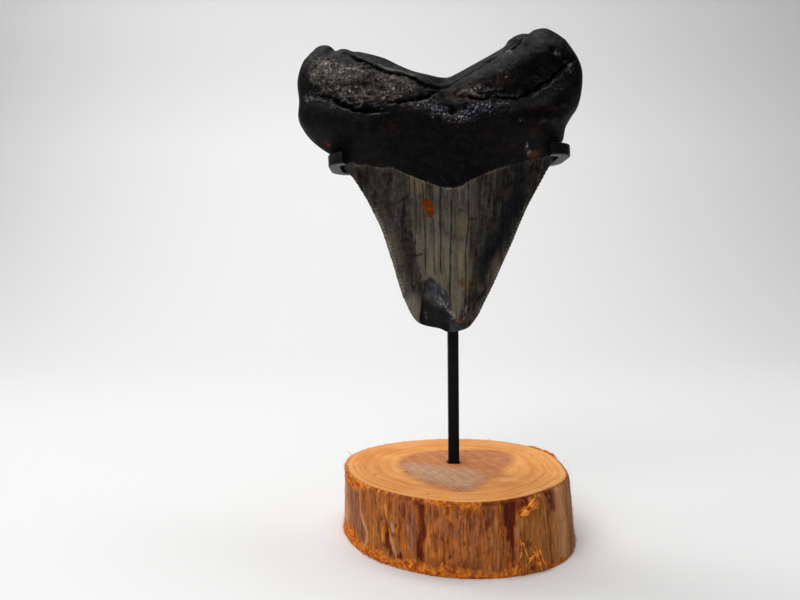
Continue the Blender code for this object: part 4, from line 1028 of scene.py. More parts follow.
# --------------------------------------------------------------------------- torn fibres
# Loose splinters on the bark: points as (angle, height, distance off the bark), half thickness, and
# whether the splinter bows
SPLINTERS = [
    ([(-65.9, 8.6, 0.3), (-67.2, 5.8, 1.1), (-71.4, 1.1, 2)], 0.2, False),
    ([(-66.6, 9.6, 0.1), (-66.3, 8, 0.5), (-67, 5.8, 0.8)], 0.07, False),
    ([(-65.7, 7.8, 0.2), (-67.2, 5, 0.9), (-69.8, 2.2, 1.6)], 0.1, False),
    ([(-65.3, 8.6, 0.2), (-64.4, 6.1, 0.8), (-63.1, 4.6, 0.7)], 0.17, False),
    ([(-65, 7.4, 0.2), (-64, 5.6, 0.8), (-62.8, 4.2, 0.6)], 0.09, False),
    ([(-59.6, 5.4, 0.3), (-62.2, 4.2, 0.8), (-64.4, 2.8, 0.8)], 0.15, False),
    ([(-60, 5, 0.3), (-61.6, 3.6, 0.8), (-63.4, 2.2, 0.8)], 0.11, False),
    ([(-58.3, 7.2, 0.1), (-58.5, 5, 0.7), (-58.7, 4, 0.8)], 0.11, False),
    ([(-59.9, 5.8, 0.2), (-59, 4.6, 0.8), (-57.9, 2.4, 0.9)], 0.28, False),
    ([(-58.6, 5.6, 0.2), (-58, 4, 0.8), (-56.9, 1.2, 0.9)], 0.26, False),
    ([(-57, 6, 0.2), (-56, 3.7, 0.9), (-54.5, 1.3, 1.1)], 0.19, False),
    ([(-57.4, 5.2, 0.2), (-56.4, 3.2, 0.8), (-55.4, 1.4, 0.9)], 0.11, False),
    ([(-58.9, 4.2, 0.3), (-57.9, 2.1, 0.8), (-56.7, 0.6, 0.9)], 0.15, False),
    ([(-62.8, 4.3, 0.4), (-61, 4.7, 0.7), (-59, 5.2, 0.5)], 0.15, False),
    ([(-59.2, 8, 0.1), (-59, 6.4, 0.5), (-58.8, 5.2, 0.6)], 0.07, False),
    ([(-66.9, 15.2, 0.3), (-66.2, 16.2, 0.9), (-64.6, 17.4, 1.2), (-61, 18.4, 1.1),
      (-57, 19, 0.6)], 0.24, True),
    ([(-66.4, 15.4, 0.3), (-65, 16.6, 1.1), (-62, 17.7, 1.2), (-58.4, 18.4, 0.9),
      (-56, 18.8, 0.5)], 0.26, True),
    ([(-65.6, 15.6, 0.3), (-63.4, 16.7, 1.1), (-60.4, 17.5, 1.1), (-57.6, 17.9, 0.7)], 0.26, True),
    ([(-64.6, 16, 0.3), (-62.2, 16.7, 1), (-59.6, 17.2, 0.9), (-57.4, 17.4, 0.5)], 0.2, True),
    ([(-65.4, 16.6, 0.4), (-63, 17.9, 1.2), (-60, 18.8, 0.9)], 0.18, True),
    ([(-66.8, 15.4, 0.2), (-67.2, 14.6, 0.5), (-67.6, 13.6, 0.3)], 0.1, True),
    ([(-54.2, 19.5, 0.4), (-55.2, 18.9, 0.8), (-57.4, 18.2, 0.8)], 0.14, True),
    ([(-63.8, 17.2, 0.8), (-61.4, 18, 1.5), (-59, 18.4, 1.1)], 0.2, True),
    ([(-66.6, 15.4, 0.4), (-65, 16.3, 1.2), (-62.4, 17.1, 1.3), (-59.4, 17.8, 1)], 0.22, True),
    ([(-62.8, 17.8, 0.8), (-60, 18.9, 1.3), (-56.6, 19.4, 0.9)], 0.2, True),
    ([(-66.8, 16, 0.5), (-66.2, 17.2, 1.1), (-65, 18, 0.8)], 0.14, True),
    ([(-60.4, 16.9, 0.5), (-58.4, 17, 1.1), (-56.8, 17, 0.7)], 0.14, True),
    ([(-61.4, 17, 0.7), (-59.4, 17.6, 1.2), (-57, 18.2, 0.8)], 0.18, True),
    ([(1.5, 19, 0.1), (3, 20.4, 1.5), (3.5, 18.6, 2.4), (2, 13.7, 2.8), (1, 9.3, 1.8)], 0.03, True),
    ([(0.6, 18.6, 0.1), (1.2, 17.6, 1.2), (0.2, 15.7, 1.7)], 0.03, True),
    ([(160.5, 19, 0.1), (160, 20.2, 1.1), (163, 20.8, 1.7)], 0.05, True),
    ([(161.5, 19, 0.1), (161.6, 20.6, 0.6)], 0.05, False),
    ([(-167, 6.2, 0.1), (-168.5, 4.6, 0.9), (-169, 3.4, 0.8)], 0.1, True),
    ([(-160, 3.2, 0.2), (-162.5, 2, 0.8)], 0.09, False),
    ([(-54.6, 1.6, 0.2), (-53.2, 0.6, 1.2), (-52, 0.25, 1.8)], 0.04, True),
    ([(-57, 1.2, 0.1), (-56.6, 0.3, 1.5)], 0.04, False),
    ([(29, 19, -0.3), (24, 19.75, 0.1), (19, 19.6, 0.35), (14, 19.1, 0.2)], 0.3, True),
    ([(37, 19.1, -0.3), (31, 19.8, 0), (26, 19.6, 0.2)], 0.28, True),
    ([(22, 19.1, 0), (17.5, 19.7, 0.5), (13, 19.2, 0.6)], 0.18, True),
    ([(40, 19.1, -0.2), (36, 19.8, 0.4), (33, 19.9, 0.9)], 0.1, True),
    ([(120, 3.2, 0.1), (121.5, 1.8, 0.8), (124, 0.7, 1)], 0.11, True),
    ([(84, 15, 0.2), (87, 16.6, 0.9), (92, 17.4, 0.5)], 0.2, True),
    ([(86, 16.4, 0.2), (90, 17.6, 0.8), (95, 18, 0.4)], 0.16, True),
]
FIBRE_SEED = 12
FIBRE_LENGTH = 1.1
FIBRE_RADIUS = 0.06
FIBRE_SIZES = (0.45, 1.15)  # least and greatest share of that length and radius
FIBRE_SPREAD = 0.45  # how far fibres lean sideways, against 1 up or down
FRINGE_FIBRES = 2.4  # fibres on each square millimetre of torn wood
LYING_FIBRES = 0.12  # and of the other bark


def splinter_mesh(path, half, bowed, sides=4, steps=9):
    """Points and faces of one tapered splinter."""
    angle, height, off = np.array(path).T
    turn = np.radians(angle)
    radius = bark_surface(turn, np.clip(height, 0.0, SLICE_HEIGHT))[0] + off
    centre_x, centre_y = SLICE_CENTRE
    height = np.maximum(height, 0.35)
    knots = np.column_stack([centre_x + radius * np.cos(turn), centre_y + radius * np.sin(turn), height])
    line = along(spline(knots, 6) if bowed else knots, np.linspace(0.0, 1.0, steps))
    heading = unit(np.gradient(line, axis=0))
    out = np.column_stack([line[:, :2] - SLICE_CENTRE, np.full(steps, 0.2 * SLICE_RADIUS)])
    wide = unit(np.cross(heading, out))
    deep = np.cross(heading, wide)
    taper = half * (0.25 + 0.75 * np.sin(np.linspace(0.35, 1.0, steps) * math.pi))[:, None]
    turns = [2 * math.pi * k / sides for k in range(sides)]
    rings = [line + taper * (math.cos(a) * wide * 1.5 + math.sin(a) * deep * 0.7) for a in turns]
    points = np.stack(rings, axis=1).reshape(-1, 3)
    ends = [list(range(sides))[::-1], list(range((steps - 1) * sides, steps * sides))]
    return points, ends + tube_faces(sides, steps)


def make_splinters():
    """The loose splinters and hairs of the torn bark."""
    points, faces, count = [], [], 0
    for path, half, bowed in SPLINTERS:
        more, rings = splinter_mesh(path, half, bowed)
        points.append(more)
        faces += [[index + count for index in face] for face in rings]
        count += len(more)
    piece = finished_mesh("bark_splinters", np.vstack(points), faces)
    recalculate(piece)
    return piece


def recalculate(piece):
    """Turns a piece's faces outwards."""
    shape = bmesh.new()
    shape.from_mesh(piece.data)
    bmesh.ops.recalc_face_normals(shape, faces=shape.faces)
    shape.to_mesh(piece.data)
    shape.free()


def fibre_tree(finish):
    """Node tree that sets short curved fibres all over a surface, thickest where it is torn."""
    values = [
        ("Geometry", "Geometry"), ("Torn density", "Float", FRINGE_FIBRES),
        ("Bark density", "Float", LYING_FIBRES), ("Length", "Float", FIBRE_LENGTH),
        ("Thickness", "Float", FIBRE_RADIUS), ("Seed", "Int", FIBRE_SEED),
    ]
    tree, start, end = new_group("torn_fibres", "GeometryNodeTree", values, [("Geometry", "Geometry")])
    make, scaled = partial(node, tree), partial(times, tree)
    torn, sawn = named_value(tree, "torn"), named_value(tree, "sawn")
    crowding = {0: math_node(tree, "POWER", torn, 1.5), 1: start["Torn density"], 2: start["Bark density"]}
    density = make("ShaderNodeMath", crowding, operation="MULTIPLY_ADD").outputs[0]
    density = scaled(density, math_node(tree, "LESS_THAN", sawn, 0.5))
    clumps = make("ShaderNodeTexNoise", {"Scale": 1.0 / (1.3 * MM), "Detail": 2.0}).outputs[0]
    density = scaled(scaled(density, levels(tree, clumps, 0.4, 0.6, 0.2, 1.6)), 1.0 / MM**2)
    bed = {"Mesh": start["Geometry"], "Density": density, "Seed": start["Seed"]}
    spots = make("GeometryNodeDistributePointsOnFaces", bed).outputs
    length, thick = scaled(start["Length"], MM), scaled(start["Thickness"], MM)
    bow = make("ShaderNodeCombineXYZ", {"X": scaled(length, 0.35), "Z": scaled(length, 0.5)}).outputs[0]
    top = make("ShaderNodeCombineXYZ", {"X": scaled(length, 0.15), "Z": length}).outputs[0]
    bend = {"Resolution": 4, "Start": (0.0, 0.0, 0.0), "Middle": bow, "End": top}
    line = make("GeometryNodeCurveQuadraticBezier", bend).outputs[0]
    share = make("GeometryNodeSplineParameter").outputs["Factor"]
    taper = levels(tree, share, 0.0, 1.0, 1.0, 0.12)
    shaped = make("GeometryNodeSetCurveRadius", {"Curve": line, "Radius": taper}).outputs[0]
    section = make("GeometryNodeCurvePrimitiveCircle", {"Resolution": 3, "Radius": thick}).outputs[0]
    skin = {"Curve": shaped, "Profile Curve": section, "Fill Caps": True}
    solid = make("GeometryNodeCurveToMesh", skin)
    if "Scale" in solid.inputs:  # without this socket, the curve's radius does the same
        put(tree, solid.inputs["Scale"], taper)
    spread = {0: (-FIBRE_SPREAD, -FIBRE_SPREAD, -1.0), 1: (FIBRE_SPREAD, FIBRE_SPREAD, 1.0)}
    spread["Seed"] = start["Seed"]
    heading = make("FunctionNodeRandomValue", spread, data_type="FLOAT_VECTOR").outputs[0]
    lift = {0: spots["Normal"], "Scale": levels(tree, torn, 0.0, 1.0, 0.05, 0.3)}
    outwards = make("ShaderNodeVectorMath", lift, operation="SCALE").outputs[0]
    heading = make("ShaderNodeVectorMath", {0: heading, 1: outwards}, operation="ADD").outputs[0]
    turned = make("FunctionNodeAlignRotationToVector", {"Vector": heading}, axis="Z").outputs[0]
    sizes = {2: FIBRE_SIZES[0], 3: FIBRE_SIZES[1], "Seed": start["Seed"]}
    size = make("FunctionNodeRandomValue", sizes, data_type="FLOAT").outputs[1]
    fibre = {"Points": spots["Points"], "Instance": solid.outputs[0], "Rotation": turned, "Scale": size}
    sown = make("GeometryNodeInstanceOnPoints", fibre).outputs[0]
    real = make("GeometryNodeRealizeInstances", {"Geometry": sown}).outputs[0]
    dressed = make("GeometryNodeSetMaterial", {"Geometry": real, "Material": finish}).outputs[0]
    put(tree, end["Geometry"], dressed)
    return tree


def named_value(tree, name):
    """A mask of the mesh, read in geometry nodes."""
    inputs = {"Name": name}
    return node(tree, "GeometryNodeInputNamedAttribute", inputs, data_type="FLOAT").outputs["Attribute"]


def make_fibres(wood, finish):
    """The short fibres that stand out of the bark, thickest along its torn edges."""
    bed = placed("fibre_bed", wood.data.copy())
    grow = bed.modifiers.new("fibres", "NODES")
    grow.node_group = fibre_tree(finish)
    for item in grow.node_group.interface.items_tree:
        if item.in_out == "INPUT" and item.name == "Seed":
            grow[item.identifier] = FIBRE_SEED
    bpy.context.view_layer.update()
    grown = bed.evaluated_get(bpy.context.evaluated_depsgraph_get())
    mesh = bpy.data.meshes.new_from_object(grown)
    mesh.name = "bark_fibres"
    for corner in mesh.vertices:
        corner.co.z = max(corner.co.z, 0.02 * MM)
    mesh.shade_smooth()
    bed.modifiers.clear()
    bpy.data.objects.remove(bed, do_unlink=True)
    return placed("bark_fibres", mesh)


# --------------------------------------------------------------------------- steel bars
CRADLE_HEIGHT = 109.85  # of its middle line, straight above the upright
CRADLE_TILT = 1.9  # degrees, rising to the right
CRADLE_DEPTH = 15.8  # between the middle lines of its back and of its front
CRADLE_LEFT = -34.45  # x of the middle line of its two sides
CRADLE_RIGHT = 30.85
HEAD_GAP = 0.4  # between the upright's head and the cradle
LEFT_HOOK_END = 256  # degrees of turn where the left hook stops
RIGHT_TAB_END = 25.7  # x where the right tab stops
BEND_RADIUS = 4.6  # of the bar's middle line
BEND_STEPS = 20
BAR_EDGE = 0.28  # radius of the bar's eased arrises
BAR_END = ((0.0, 0.86), (0.06, 0.95), (0.22, 1.0))  # eased end: distance from it and share of the section
BAR_STEP = 2.0  # greatest length between two sections of the cradle
UPRIGHT_STEPS = 48


def cradle_line():
    """Centre line of the cradle in plan, from the left tab round the back to the right tab."""
    front = -CRADLE_DEPTH
    corners = [
        (CRADLE_LEFT + BEND_RADIUS, front + BEND_RADIUS, LEFT_HOOK_END, 180),
        (CRADLE_LEFT + BEND_RADIUS, -BEND_RADIUS, 180, 90),
        (CRADLE_RIGHT - BEND_RADIUS, -BEND_RADIUS, 90, 0),
        (CRADLE_RIGHT - BEND_RADIUS, front + BEND_RADIUS, 0, -90),
    ]
    line = []
    for centre_x, centre_y, start, end in corners:
        turn = np.radians(np.linspace(start, end, BEND_STEPS + 1))
        bend = [centre_x + BEND_RADIUS * np.cos(turn), centre_y + BEND_RADIUS * np.sin(turn)]
        line.append(np.stack(bend, axis=1))
    return np.vstack([*line, [[RIGHT_TAB_END, front]]])


def bar_section(side, edge, steps=3):
    """Corner points of a square bar's section with rounded arrises."""
    points = []
    inner = side / 2 - edge
    for quarter in range(4):
        for step in range(steps + 1):
            turn = math.pi / 2 * (quarter + step / steps)
            sx = 1 if quarter in (0, 3) else -1
            sy = 1 if quarter in (0, 1) else -1
            points.append((sx * inner + edge * math.cos(turn), sy * inner + edge * math.sin(turn)))
    return np.array(points)


def swept_bar(name, line, up):
    """A bar swept along a line of points, with eased ends. Its sides stand along up."""
    section = bar_section(BAR, BAR_EDGE)
    count = len(section)
    heading = np.gradient(line, axis=0)
    heading[0], heading[-1] = line[1] - line[0], line[-1] - line[-2]
    heading = unit(heading)
    across = unit(np.cross(heading, up))
    places = [(0, shift, scale) for shift, scale in BAR_END]
    places += [(at, 0.0, 1.0) for at in range(1, len(line) - 1)]
    places += [(len(line) - 1, -shift, scale) for shift, scale in BAR_END[::-1]]
    rings = []
    for at, shift, scale in places:
        spread_out = section[:, :1] * across[at] + section[:, 1:] * np.array(up, float)
        rings.append(line[at] + heading[at] * shift + scale * spread_out)
    last = count * (len(rings) - 1)
    faces = [list(range(count))[::-1], *tube_faces(count, len(rings)), list(range(last, last + count))]
    piece = finished_mesh(name, np.vstack(rings), faces)
    recalculate(piece)
    return piece


def make_cradle():
    """The cradle: one bar bent round the back of the tooth and hooked in front of each shoulder."""
    flat = cradle_line()
    flat = flat[np.concatenate([[True], np.linalg.norm(np.diff(flat, axis=0), axis=1) > 1e-6])]
    dense = [flat[:1]]
    for a, b in zip(flat, flat[1:]):
        pieces = max(1, int(np.linalg.norm(b - a) / BAR_STEP))
        dense.append(a + (b - a) * (np.arange(1, pieces + 1) / pieces)[:, None])
    flat = np.vstack(dense)
    piece = swept_bar("cradle_bar", np.column_stack([flat, np.zeros(len(flat))]), (0, 0, 1))
    lift = Matrix.Translation((0, 0, CRADLE_HEIGHT * MM))
    piece.data.transform(lift @ Matrix.Rotation(-math.radians(CRADLE_TILT), 4, "Y"))
    return piece


def make_upright():
    """The upright bar, from its socket in the slice to just under the cradle."""
    heights = np.linspace(SLICE_HEIGHT - SOCKET_DEPTH, CRADLE_HEIGHT - BAR / 2 - HEAD_GAP, UPRIGHT_STEPS)
    line = np.column_stack([np.zeros(len(heights)), np.zeros(len(heights)), heights])
    return swept_bar("upright_bar", line, (0, 1, 0))


# --------------------------------------------------------------------------- materials
# Colours as linear red, green and blue. Bone of the root
BLACK_BONE = (0.0013, 0.0012, 0.0016)
BROWN_BONE = (0.0035, 0.003, 0.0023)
NAVY_BONE = (0.0032, 0.0037, 0.0068)
MAUVE_BONE = (0.0088, 0.0062, 0.0088)
UMBER_BONE = (0.0155, 0.0095, 0.004)
# Painted shade down the creases of the root
CREASE_SHADE = (0.0012, 0.0011, 0.0012)
DARK_SAND = (0.014, 0.0125, 0.0105)
PALE_SAND_AND_SHEEN = (0.15, 0.135, 0.108)
SAND_GLINT = (0.60, 0.55, 0.46)
GREY_SAND = (0.042, 0.039, 0.045)
SAND_PORE = (0.0035, 0.0032, 0.003)
# Painted glints in the porous bone
PORE_GLINT = (0.12, 0.108, 0.085)
DARK_LILAC = (0.0045, 0.0036, 0.0056)
LILAC = (0.03, 0.027, 0.034)
LILAC_GLINT = (0.42, 0.405, 0.46)
LILAC_PORE = (0.003, 0.0026, 0.0036)
# Painted highlight along the lips and fold ridges of the root
DIM_LIP_HIGHLIGHT = (0.04, 0.037, 0.038)
LIP_HIGHLIGHT = (0.34, 0.32, 0.29)
# Enamel of the crown, the scar at its tip, rust, and creamy flecks with painted glints
DARK_ENAMEL = (0.0048, 0.0047, 0.0054)
PALE_ENAMEL = (0.164, 0.147, 0.112)
TAN_CLOUD = (0.10, 0.075, 0.048)
DARK_TAN = (0.025, 0.018, 0.01)
PALE_TAN = (0.22, 0.165, 0.09)
STREAK_BLACK = (0.007, 0.007, 0.0075)
DARK_NAVY = (0.0018, 0.0022, 0.0048)
NAVY = (0.0068, 0.0074, 0.0125)
HAIRLINE = (0.02, 0.019, 0.018)
DARK_SCAR = (0.012, 0.0126, 0.0155)
PALE_SCAR = (0.078, 0.082, 0.097)
DEEP_SCAR = (0.0085, 0.0078, 0.0075)
DARK_RUST = (0.06, 0.0135, 0.0005)
BRIGHT_RUST = (0.19, 0.043, 0.0008)
THIN_RUST = (0.075, 0.036, 0.011)
CREAM_AND_GLINT = (0.36, 0.325, 0.275)
# Sawn wood
PALE_SAP = (0.92, 0.43, 0.13)
DARK_SAP = (0.74, 0.295, 0.072)
CREAMY_SAP = (0.93, 0.53, 0.22)
FINE_RING = (0.62, 0.26, 0.07)
AMBER_SAP = (0.66, 0.24, 0.055)
DARK_RING = (0.60, 0.18, 0.033)
DARK_HEART = (0.44, 0.145, 0.05)
PALE_HEART = (0.66, 0.255, 0.085)
DARK_GREY_HEART = (0.43, 0.235, 0.14)
PALE_GREY_HEART = (0.66, 0.37, 0.205)
DARK_ROSE = (0.36, 0.135, 0.08)
PALE_ROSE = (0.50, 0.205, 0.115)
SAW_LINE = (0.40, 0.17, 0.06)
DARK_SAW_LINE = (0.20, 0.085, 0.05)
PALE_SAW_LINE = (0.76, 0.42, 0.22)
SAWN_SPECK_AND_SOCKET_SHADE = (0.07, 0.02, 0.006)
# Bark and its torn fibres
DARK_BARK = (0.15, 0.029, 0.0035)
BRIGHT_BARK = (0.78, 0.23, 0.032)
BARK_CLOUD = (0.37, 0.12, 0.04)
DARK_MAUVE = (0.155, 0.054, 0.027)
PALE_MAUVE = (0.41, 0.155, 0.075)
DARK_PLATE = (0.235, 0.078, 0.015)
PALE_PLATE = (0.57, 0.215, 0.044)
DARK_MAROON = (0.055, 0.0055, 0.0018)
MAROON = (0.205, 0.024, 0.0045)
DARK_SPLIT = (0.075, 0.015, 0.004)
LIGHT_STRAND = (0.62, 0.24, 0.07)
GOUGE_SHADE_AND_SPECK = (0.032, 0.007, 0.0025)
DARK_TEAR = (0.30, 0.042, 0.003)
ORANGE_TEAR = (0.92, 0.29, 0.032)
DARK_PEEL_AND_PAINTED_LIGHT = (0.48, 0.19, 0.07)
PALE_PEEL_AND_PAINTED_LIGHT = (0.86, 0.50, 0.25)
DARK_FIBRE = (0.40, 0.062, 0.004)
ORANGE_FIBRE = (0.96, 0.34, 0.04)
PALE_FIBRE = (0.98, 0.52, 0.13)
# Painted steel
BLACK_PAINT = (0.0032, 0.0034, 0.0048)
DUSTY_PAINT = (0.0075, 0.0078, 0.01)
PAINT_SPECK = (0.02, 0.02, 0.021)
# Growth rings: share of the radius and how dark the wood is there
RINGS = [
    (0, 0.2), (0.44, 0.1), (0.475, 0.5), (0.5, 0.1), (0.575, 0.1), (0.6, 0.55), (0.625, 0.1),
    (0.685, 0.12), (0.715, 0.85), (0.735, 0.3), (0.75, 0.55), (0.775, 0.08), (0.795, 0.12), (0.82, 0.8),
    (0.84, 0.15), (0.855, 0.2), (0.872, 0.6), (0.89, 0.1), (0.905, 0.15), (0.925, 0.8), (0.945, 0.1),
    (0.958, 0), (0.972, 0), (0.986, 0.9), (1, 1),
]
# Stretch of noise into streaks along the tooth or the bark, as shares for each axis
ENAMEL_RIDGES = (1.0, 0.2, 0.04)
HAIRLINES = (1.0, 0.2, 0.03)
ENAMEL_GRAIN = (1.0, 0.2, 0.05)
BARK_STRANDS = (1.0, 1.0, 0.07)
BARK_RIBS = (1.0, 1.0, 0.12)
BARK_SPLITS = (1.0, 1.0, 0.2)
SAW_STRETCH = (1.0, 0.022, 1.0)
PORE_SIZE = 1.15  # of the spongy bone, in millimetres


def put(tree, socket, value):
    """Links a value to a socket, or sets it there if it is a plain number or colour."""
    if isinstance(value, bpy.types.NodeSocket):
        tree.links.new(value, socket)
    elif socket.type == "RGBA":
        socket.default_value = (*value, 1.0)
    else:
        socket.default_value = value


def node(tree, kind, inputs=(), **settings):
    """A node with its settings, its inputs set or linked by name or number."""
    made = tree.nodes.new(kind)
    for name, value in settings.items():
        setattr(made, name, value)
    for name, value in dict(inputs).items():
        put(tree, made.inputs[name], value)
    return made


def new_group(name, kind, inputs, outputs):
    """An empty node group with its sockets, each a name, a kind and a value, and its two end nodes."""
    group = bpy.data.node_groups.new(name, kind)
    for label, shape, *value in inputs:
        made = group.interface.new_socket(label, in_out="INPUT", socket_type="NodeSocket" + shape)
        if value:
            made.default_value = value[0]
    for label, shape in outputs:
        group.interface.new_socket(label, in_out="OUTPUT", socket_type="NodeSocket" + shape)
    return group, node(group, "NodeGroupInput").outputs, node(group, "NodeGroupOutput").inputs


def math_node(tree, operation, first, second=0.0, clamp=False):
    """Result of one sum."""
    inputs = {0: first, 1: second}
    return node(tree, "ShaderNodeMath", inputs, operation=operation, use_clamp=clamp).outputs[0]


def times(tree, first, second):
    """Product of two values."""
    return math_node(tree, "MULTIPLY", first, second)


def levels(tree, value, low, high, to_low=0.0, to_high=1.0):
    """Value moved from one range to another, clamped."""
    ends = {"From Min": low, "From Max": high, "To Min": to_low, "To Max": to_high}
    return node(tree, "ShaderNodeMapRange", {"Value": value, **ends}).outputs["Result"]


def noise_value(tree, where, size, detail=3.0, stretch=None, roughness=0.55):
    """Noise whose lumps have the given size in millimetres."""
    if stretch is not None:
        where = node(tree, "ShaderNodeMapping", {"Vector": where, "Scale": stretch}).outputs[0]
    inputs = {"Vector": where, "Scale": 1.0 / (size * MM), "Detail": detail, "Roughness": roughness}
    return node(tree, "ShaderNodeTexNoise", inputs).outputs["Fac"]


def mask(tree, name, most=1.0):
    """A mask painted on the piece's own mesh, up to the given strength."""
    painted = node(tree, "ShaderNodeAttribute", attribute_name=name, attribute_type="GEOMETRY").outputs["Fac"]
    return painted if most == 1.0 else times(tree, painted, most)


def layered(tree, colour, *layers):
    """Colours laid over one another, each with the share of it that shows."""
    for share, over in layers:
        made = node(tree, "ShaderNodeMix", {0: share, 6: colour, 7: over}, data_type="RGBA")
        colour = made.outputs[2]
    return colour


def ramp_colour(tree, value, stops):
    """Colour read from a list of pairs, a place and a colour."""
    shade = node(tree, "ShaderNodeValToRGB", {0: value})
    ramp = shade.color_ramp
    while len(ramp.elements) < len(stops):
        ramp.elements.new(0.5)
    for stop, (at, colour) in zip(ramp.elements, stops):
        stop.position = at
        stop.color = (*colour, 1.0)
    return shade.outputs["Color"]


def mottle_group():
    """Shared effect: soft patches broken up by finer ones."""
    values = [("Vector", "Vector"), ("Size", "Float", 3.0), ("Low", "Float", 0.4), ("High", "Float", 0.6)]
    group, start, end = new_group("mottle", "ShaderNodeTree", values, [("Mask", "Float")])
    scale = math_node(group, "DIVIDE", 1.0 / MM, start["Size"])
    broad = node(group, "ShaderNodeTexNoise", {"Vector": start["Vector"], "Scale": scale, "Detail": 5.0})
    ends = {"From Min": start["Low"], "From Max": start["High"]}
    made = node(group, "ShaderNodeMapRange", {"Value": broad.outputs["Fac"], **ends})
    put(group, end["Mask"], made.outputs["Result"])
    return group


def grain_group():
    """Shared effect: a fine grain, as a height for a bump and a mask for the colour."""
    values = [("Vector", "Vector"), ("Size", "Float", 0.5), ("Pitting", "Float", 0.5)]
    results = [("Height", "Float"), ("Speck", "Float")]
    group, start, end = new_group("fine_grain", "ShaderNodeTree", values, results)
    scale = math_node(group, "DIVIDE", 1.0 / MM, start["Size"])
    spread = {"Vector": start["Vector"], "Scale": scale}
    cloud = node(group, "ShaderNodeTexNoise", {**spread, "Detail": 5.0, "Roughness": 0.6}).outputs["Fac"]
    cells = node(group, "ShaderNodeTexVoronoi", spread).outputs["Distance"]
    pitted = times(group, levels(group, cells, 0.05, 0.4), start["Pitting"])
    put(group, end["Height"], math_node(group, "ADD", cloud, pitted))
    put(group, end["Speck"], levels(group, cloud, 0.55, 0.68))
    return group


def grouped(tree, group, **inputs):
    """A shared group placed in a material with its own values."""
    return node(tree, "ShaderNodeGroup", inputs.items(), node_tree=group)


def patchy(tree, mottle, where, size, low, high, most=1.0):
    """Mask of soft patches up to the given strength."""
    return times(tree, grouped(tree, mottle, Vector=where, Size=size, Low=low, High=high).outputs[0], most)


def make_pen(name, mottle=None, grain=None):
    """An empty material and what its colours repeat: noise, patches, masks, levels, layers and sums."""
    made = bpy.data.materials.new(name)
    made.use_nodes = True
    tree = made.node_tree
    where = node(tree, "ShaderNodeTexCoord").outputs["Object"]
    return SimpleNamespace(
        made=made, tree=tree, where=where, inputs=tree.nodes["Principled BSDF"].inputs,
        cloud=partial(noise_value, tree, where), cover=partial(patchy, tree, mottle, where),
        specks=partial(grouped, tree, grain, Vector=where), paint=partial(mask, tree),
        shade=partial(levels, tree), layer=partial(layered, tree), scaled=partial(times, tree),
        added=partial(math_node, tree, "ADD"),
    )


def finish_shader(pen, colour, rough, gloss, height=None, strength=0.0, deep=0.0):
    """Sets a material's colour, roughness and gloss, and a bump so many millimetres deep."""
    put(pen.tree, pen.inputs["Base Color"], colour)
    put(pen.tree, pen.inputs["Roughness"], rough)
    put(pen.tree, pen.inputs["Specular IOR Level"], gloss)
    if height is not None:
        values = {"Height": height, "Strength": strength, "Distance": deep * MM}
        put(pen.tree, pen.inputs["Normal"], node(pen.tree, "ShaderNodeBump", values).outputs[0])
    return pen.made


def bone_colour(pen):
    """Blackened bone of the root, pale and porous in places, with painted glints and highlights, and painted
    shade down its creases.
    """
    spread = {"Vector": pen.where, "Scale": 1.0 / (PORE_SIZE * MM)}
    cells = node(pen.tree, "ShaderNodeTexVoronoi", spread).outputs["Distance"]
    sponge = pen.shade(pen.added(cells, pen.scaled(pen.cloud(0.8, 3.0), 0.5)), 0.56, 0.4)
    glint_noise = pen.cloud(0.5, 4.0, roughness=0.7)
    # Painted glints sprinkled over the porous bone.
    specks = pen.scaled(pen.shade(glint_noise, 0.57, 0.7), pen.paint("porous"))
    # Pale worn bone, on the left dome partly a painted sheen.
    sand = pen.layer(
        DARK_SAND, (pen.shade(pen.cloud(2.3, 6.0, roughness=0.66), 0.4, 0.64), PALE_SAND_AND_SHEEN),
        (pen.scaled(pen.shade(pen.cloud(0.8, 4.0, roughness=0.65), 0.55, 0.69), 0.92), SAND_GLINT),
        (pen.cover(2.6, 0.5, 0.62, 0.45), GREY_SAND), (sponge, SAND_PORE),
    )
    lilac = pen.layer(
        DARK_LILAC, (pen.shade(pen.cloud(1.6, 5.0), 0.4, 0.62), LILAC),
        (pen.scaled(pen.shade(pen.cloud(0.6, 3.0, roughness=0.6), 0.54, 0.66), 0.95), LILAC_GLINT),
        (sponge, LILAC_PORE),
    )
    return pen.layer(
        BLACK_BONE, (pen.cover(6.0, 0.42, 0.62), BROWN_BONE), (pen.cover(3.4, 0.5, 0.64, 0.8), NAVY_BONE),
        (pen.cover(2.3, 0.52, 0.66, 0.5), MAUVE_BONE), (pen.cover(1.7, 0.56, 0.68, 0.45), UMBER_BONE),
        (pen.paint("sand", 0.95), sand), (pen.scaled(specks, 0.6), PORE_GLINT),
        # Painted highlight on the lips and fold ridges.
        (pen.paint("lilac"), lilac), (pen.paint("lip", 0.85), pen.layer(DIM_LIP_HIGHLIGHT, (glint_noise, LIP_HIGHLIGHT))),
        # Painted shade down the creases.
        (pen.paint("crack"), CREASE_SHADE),
    )


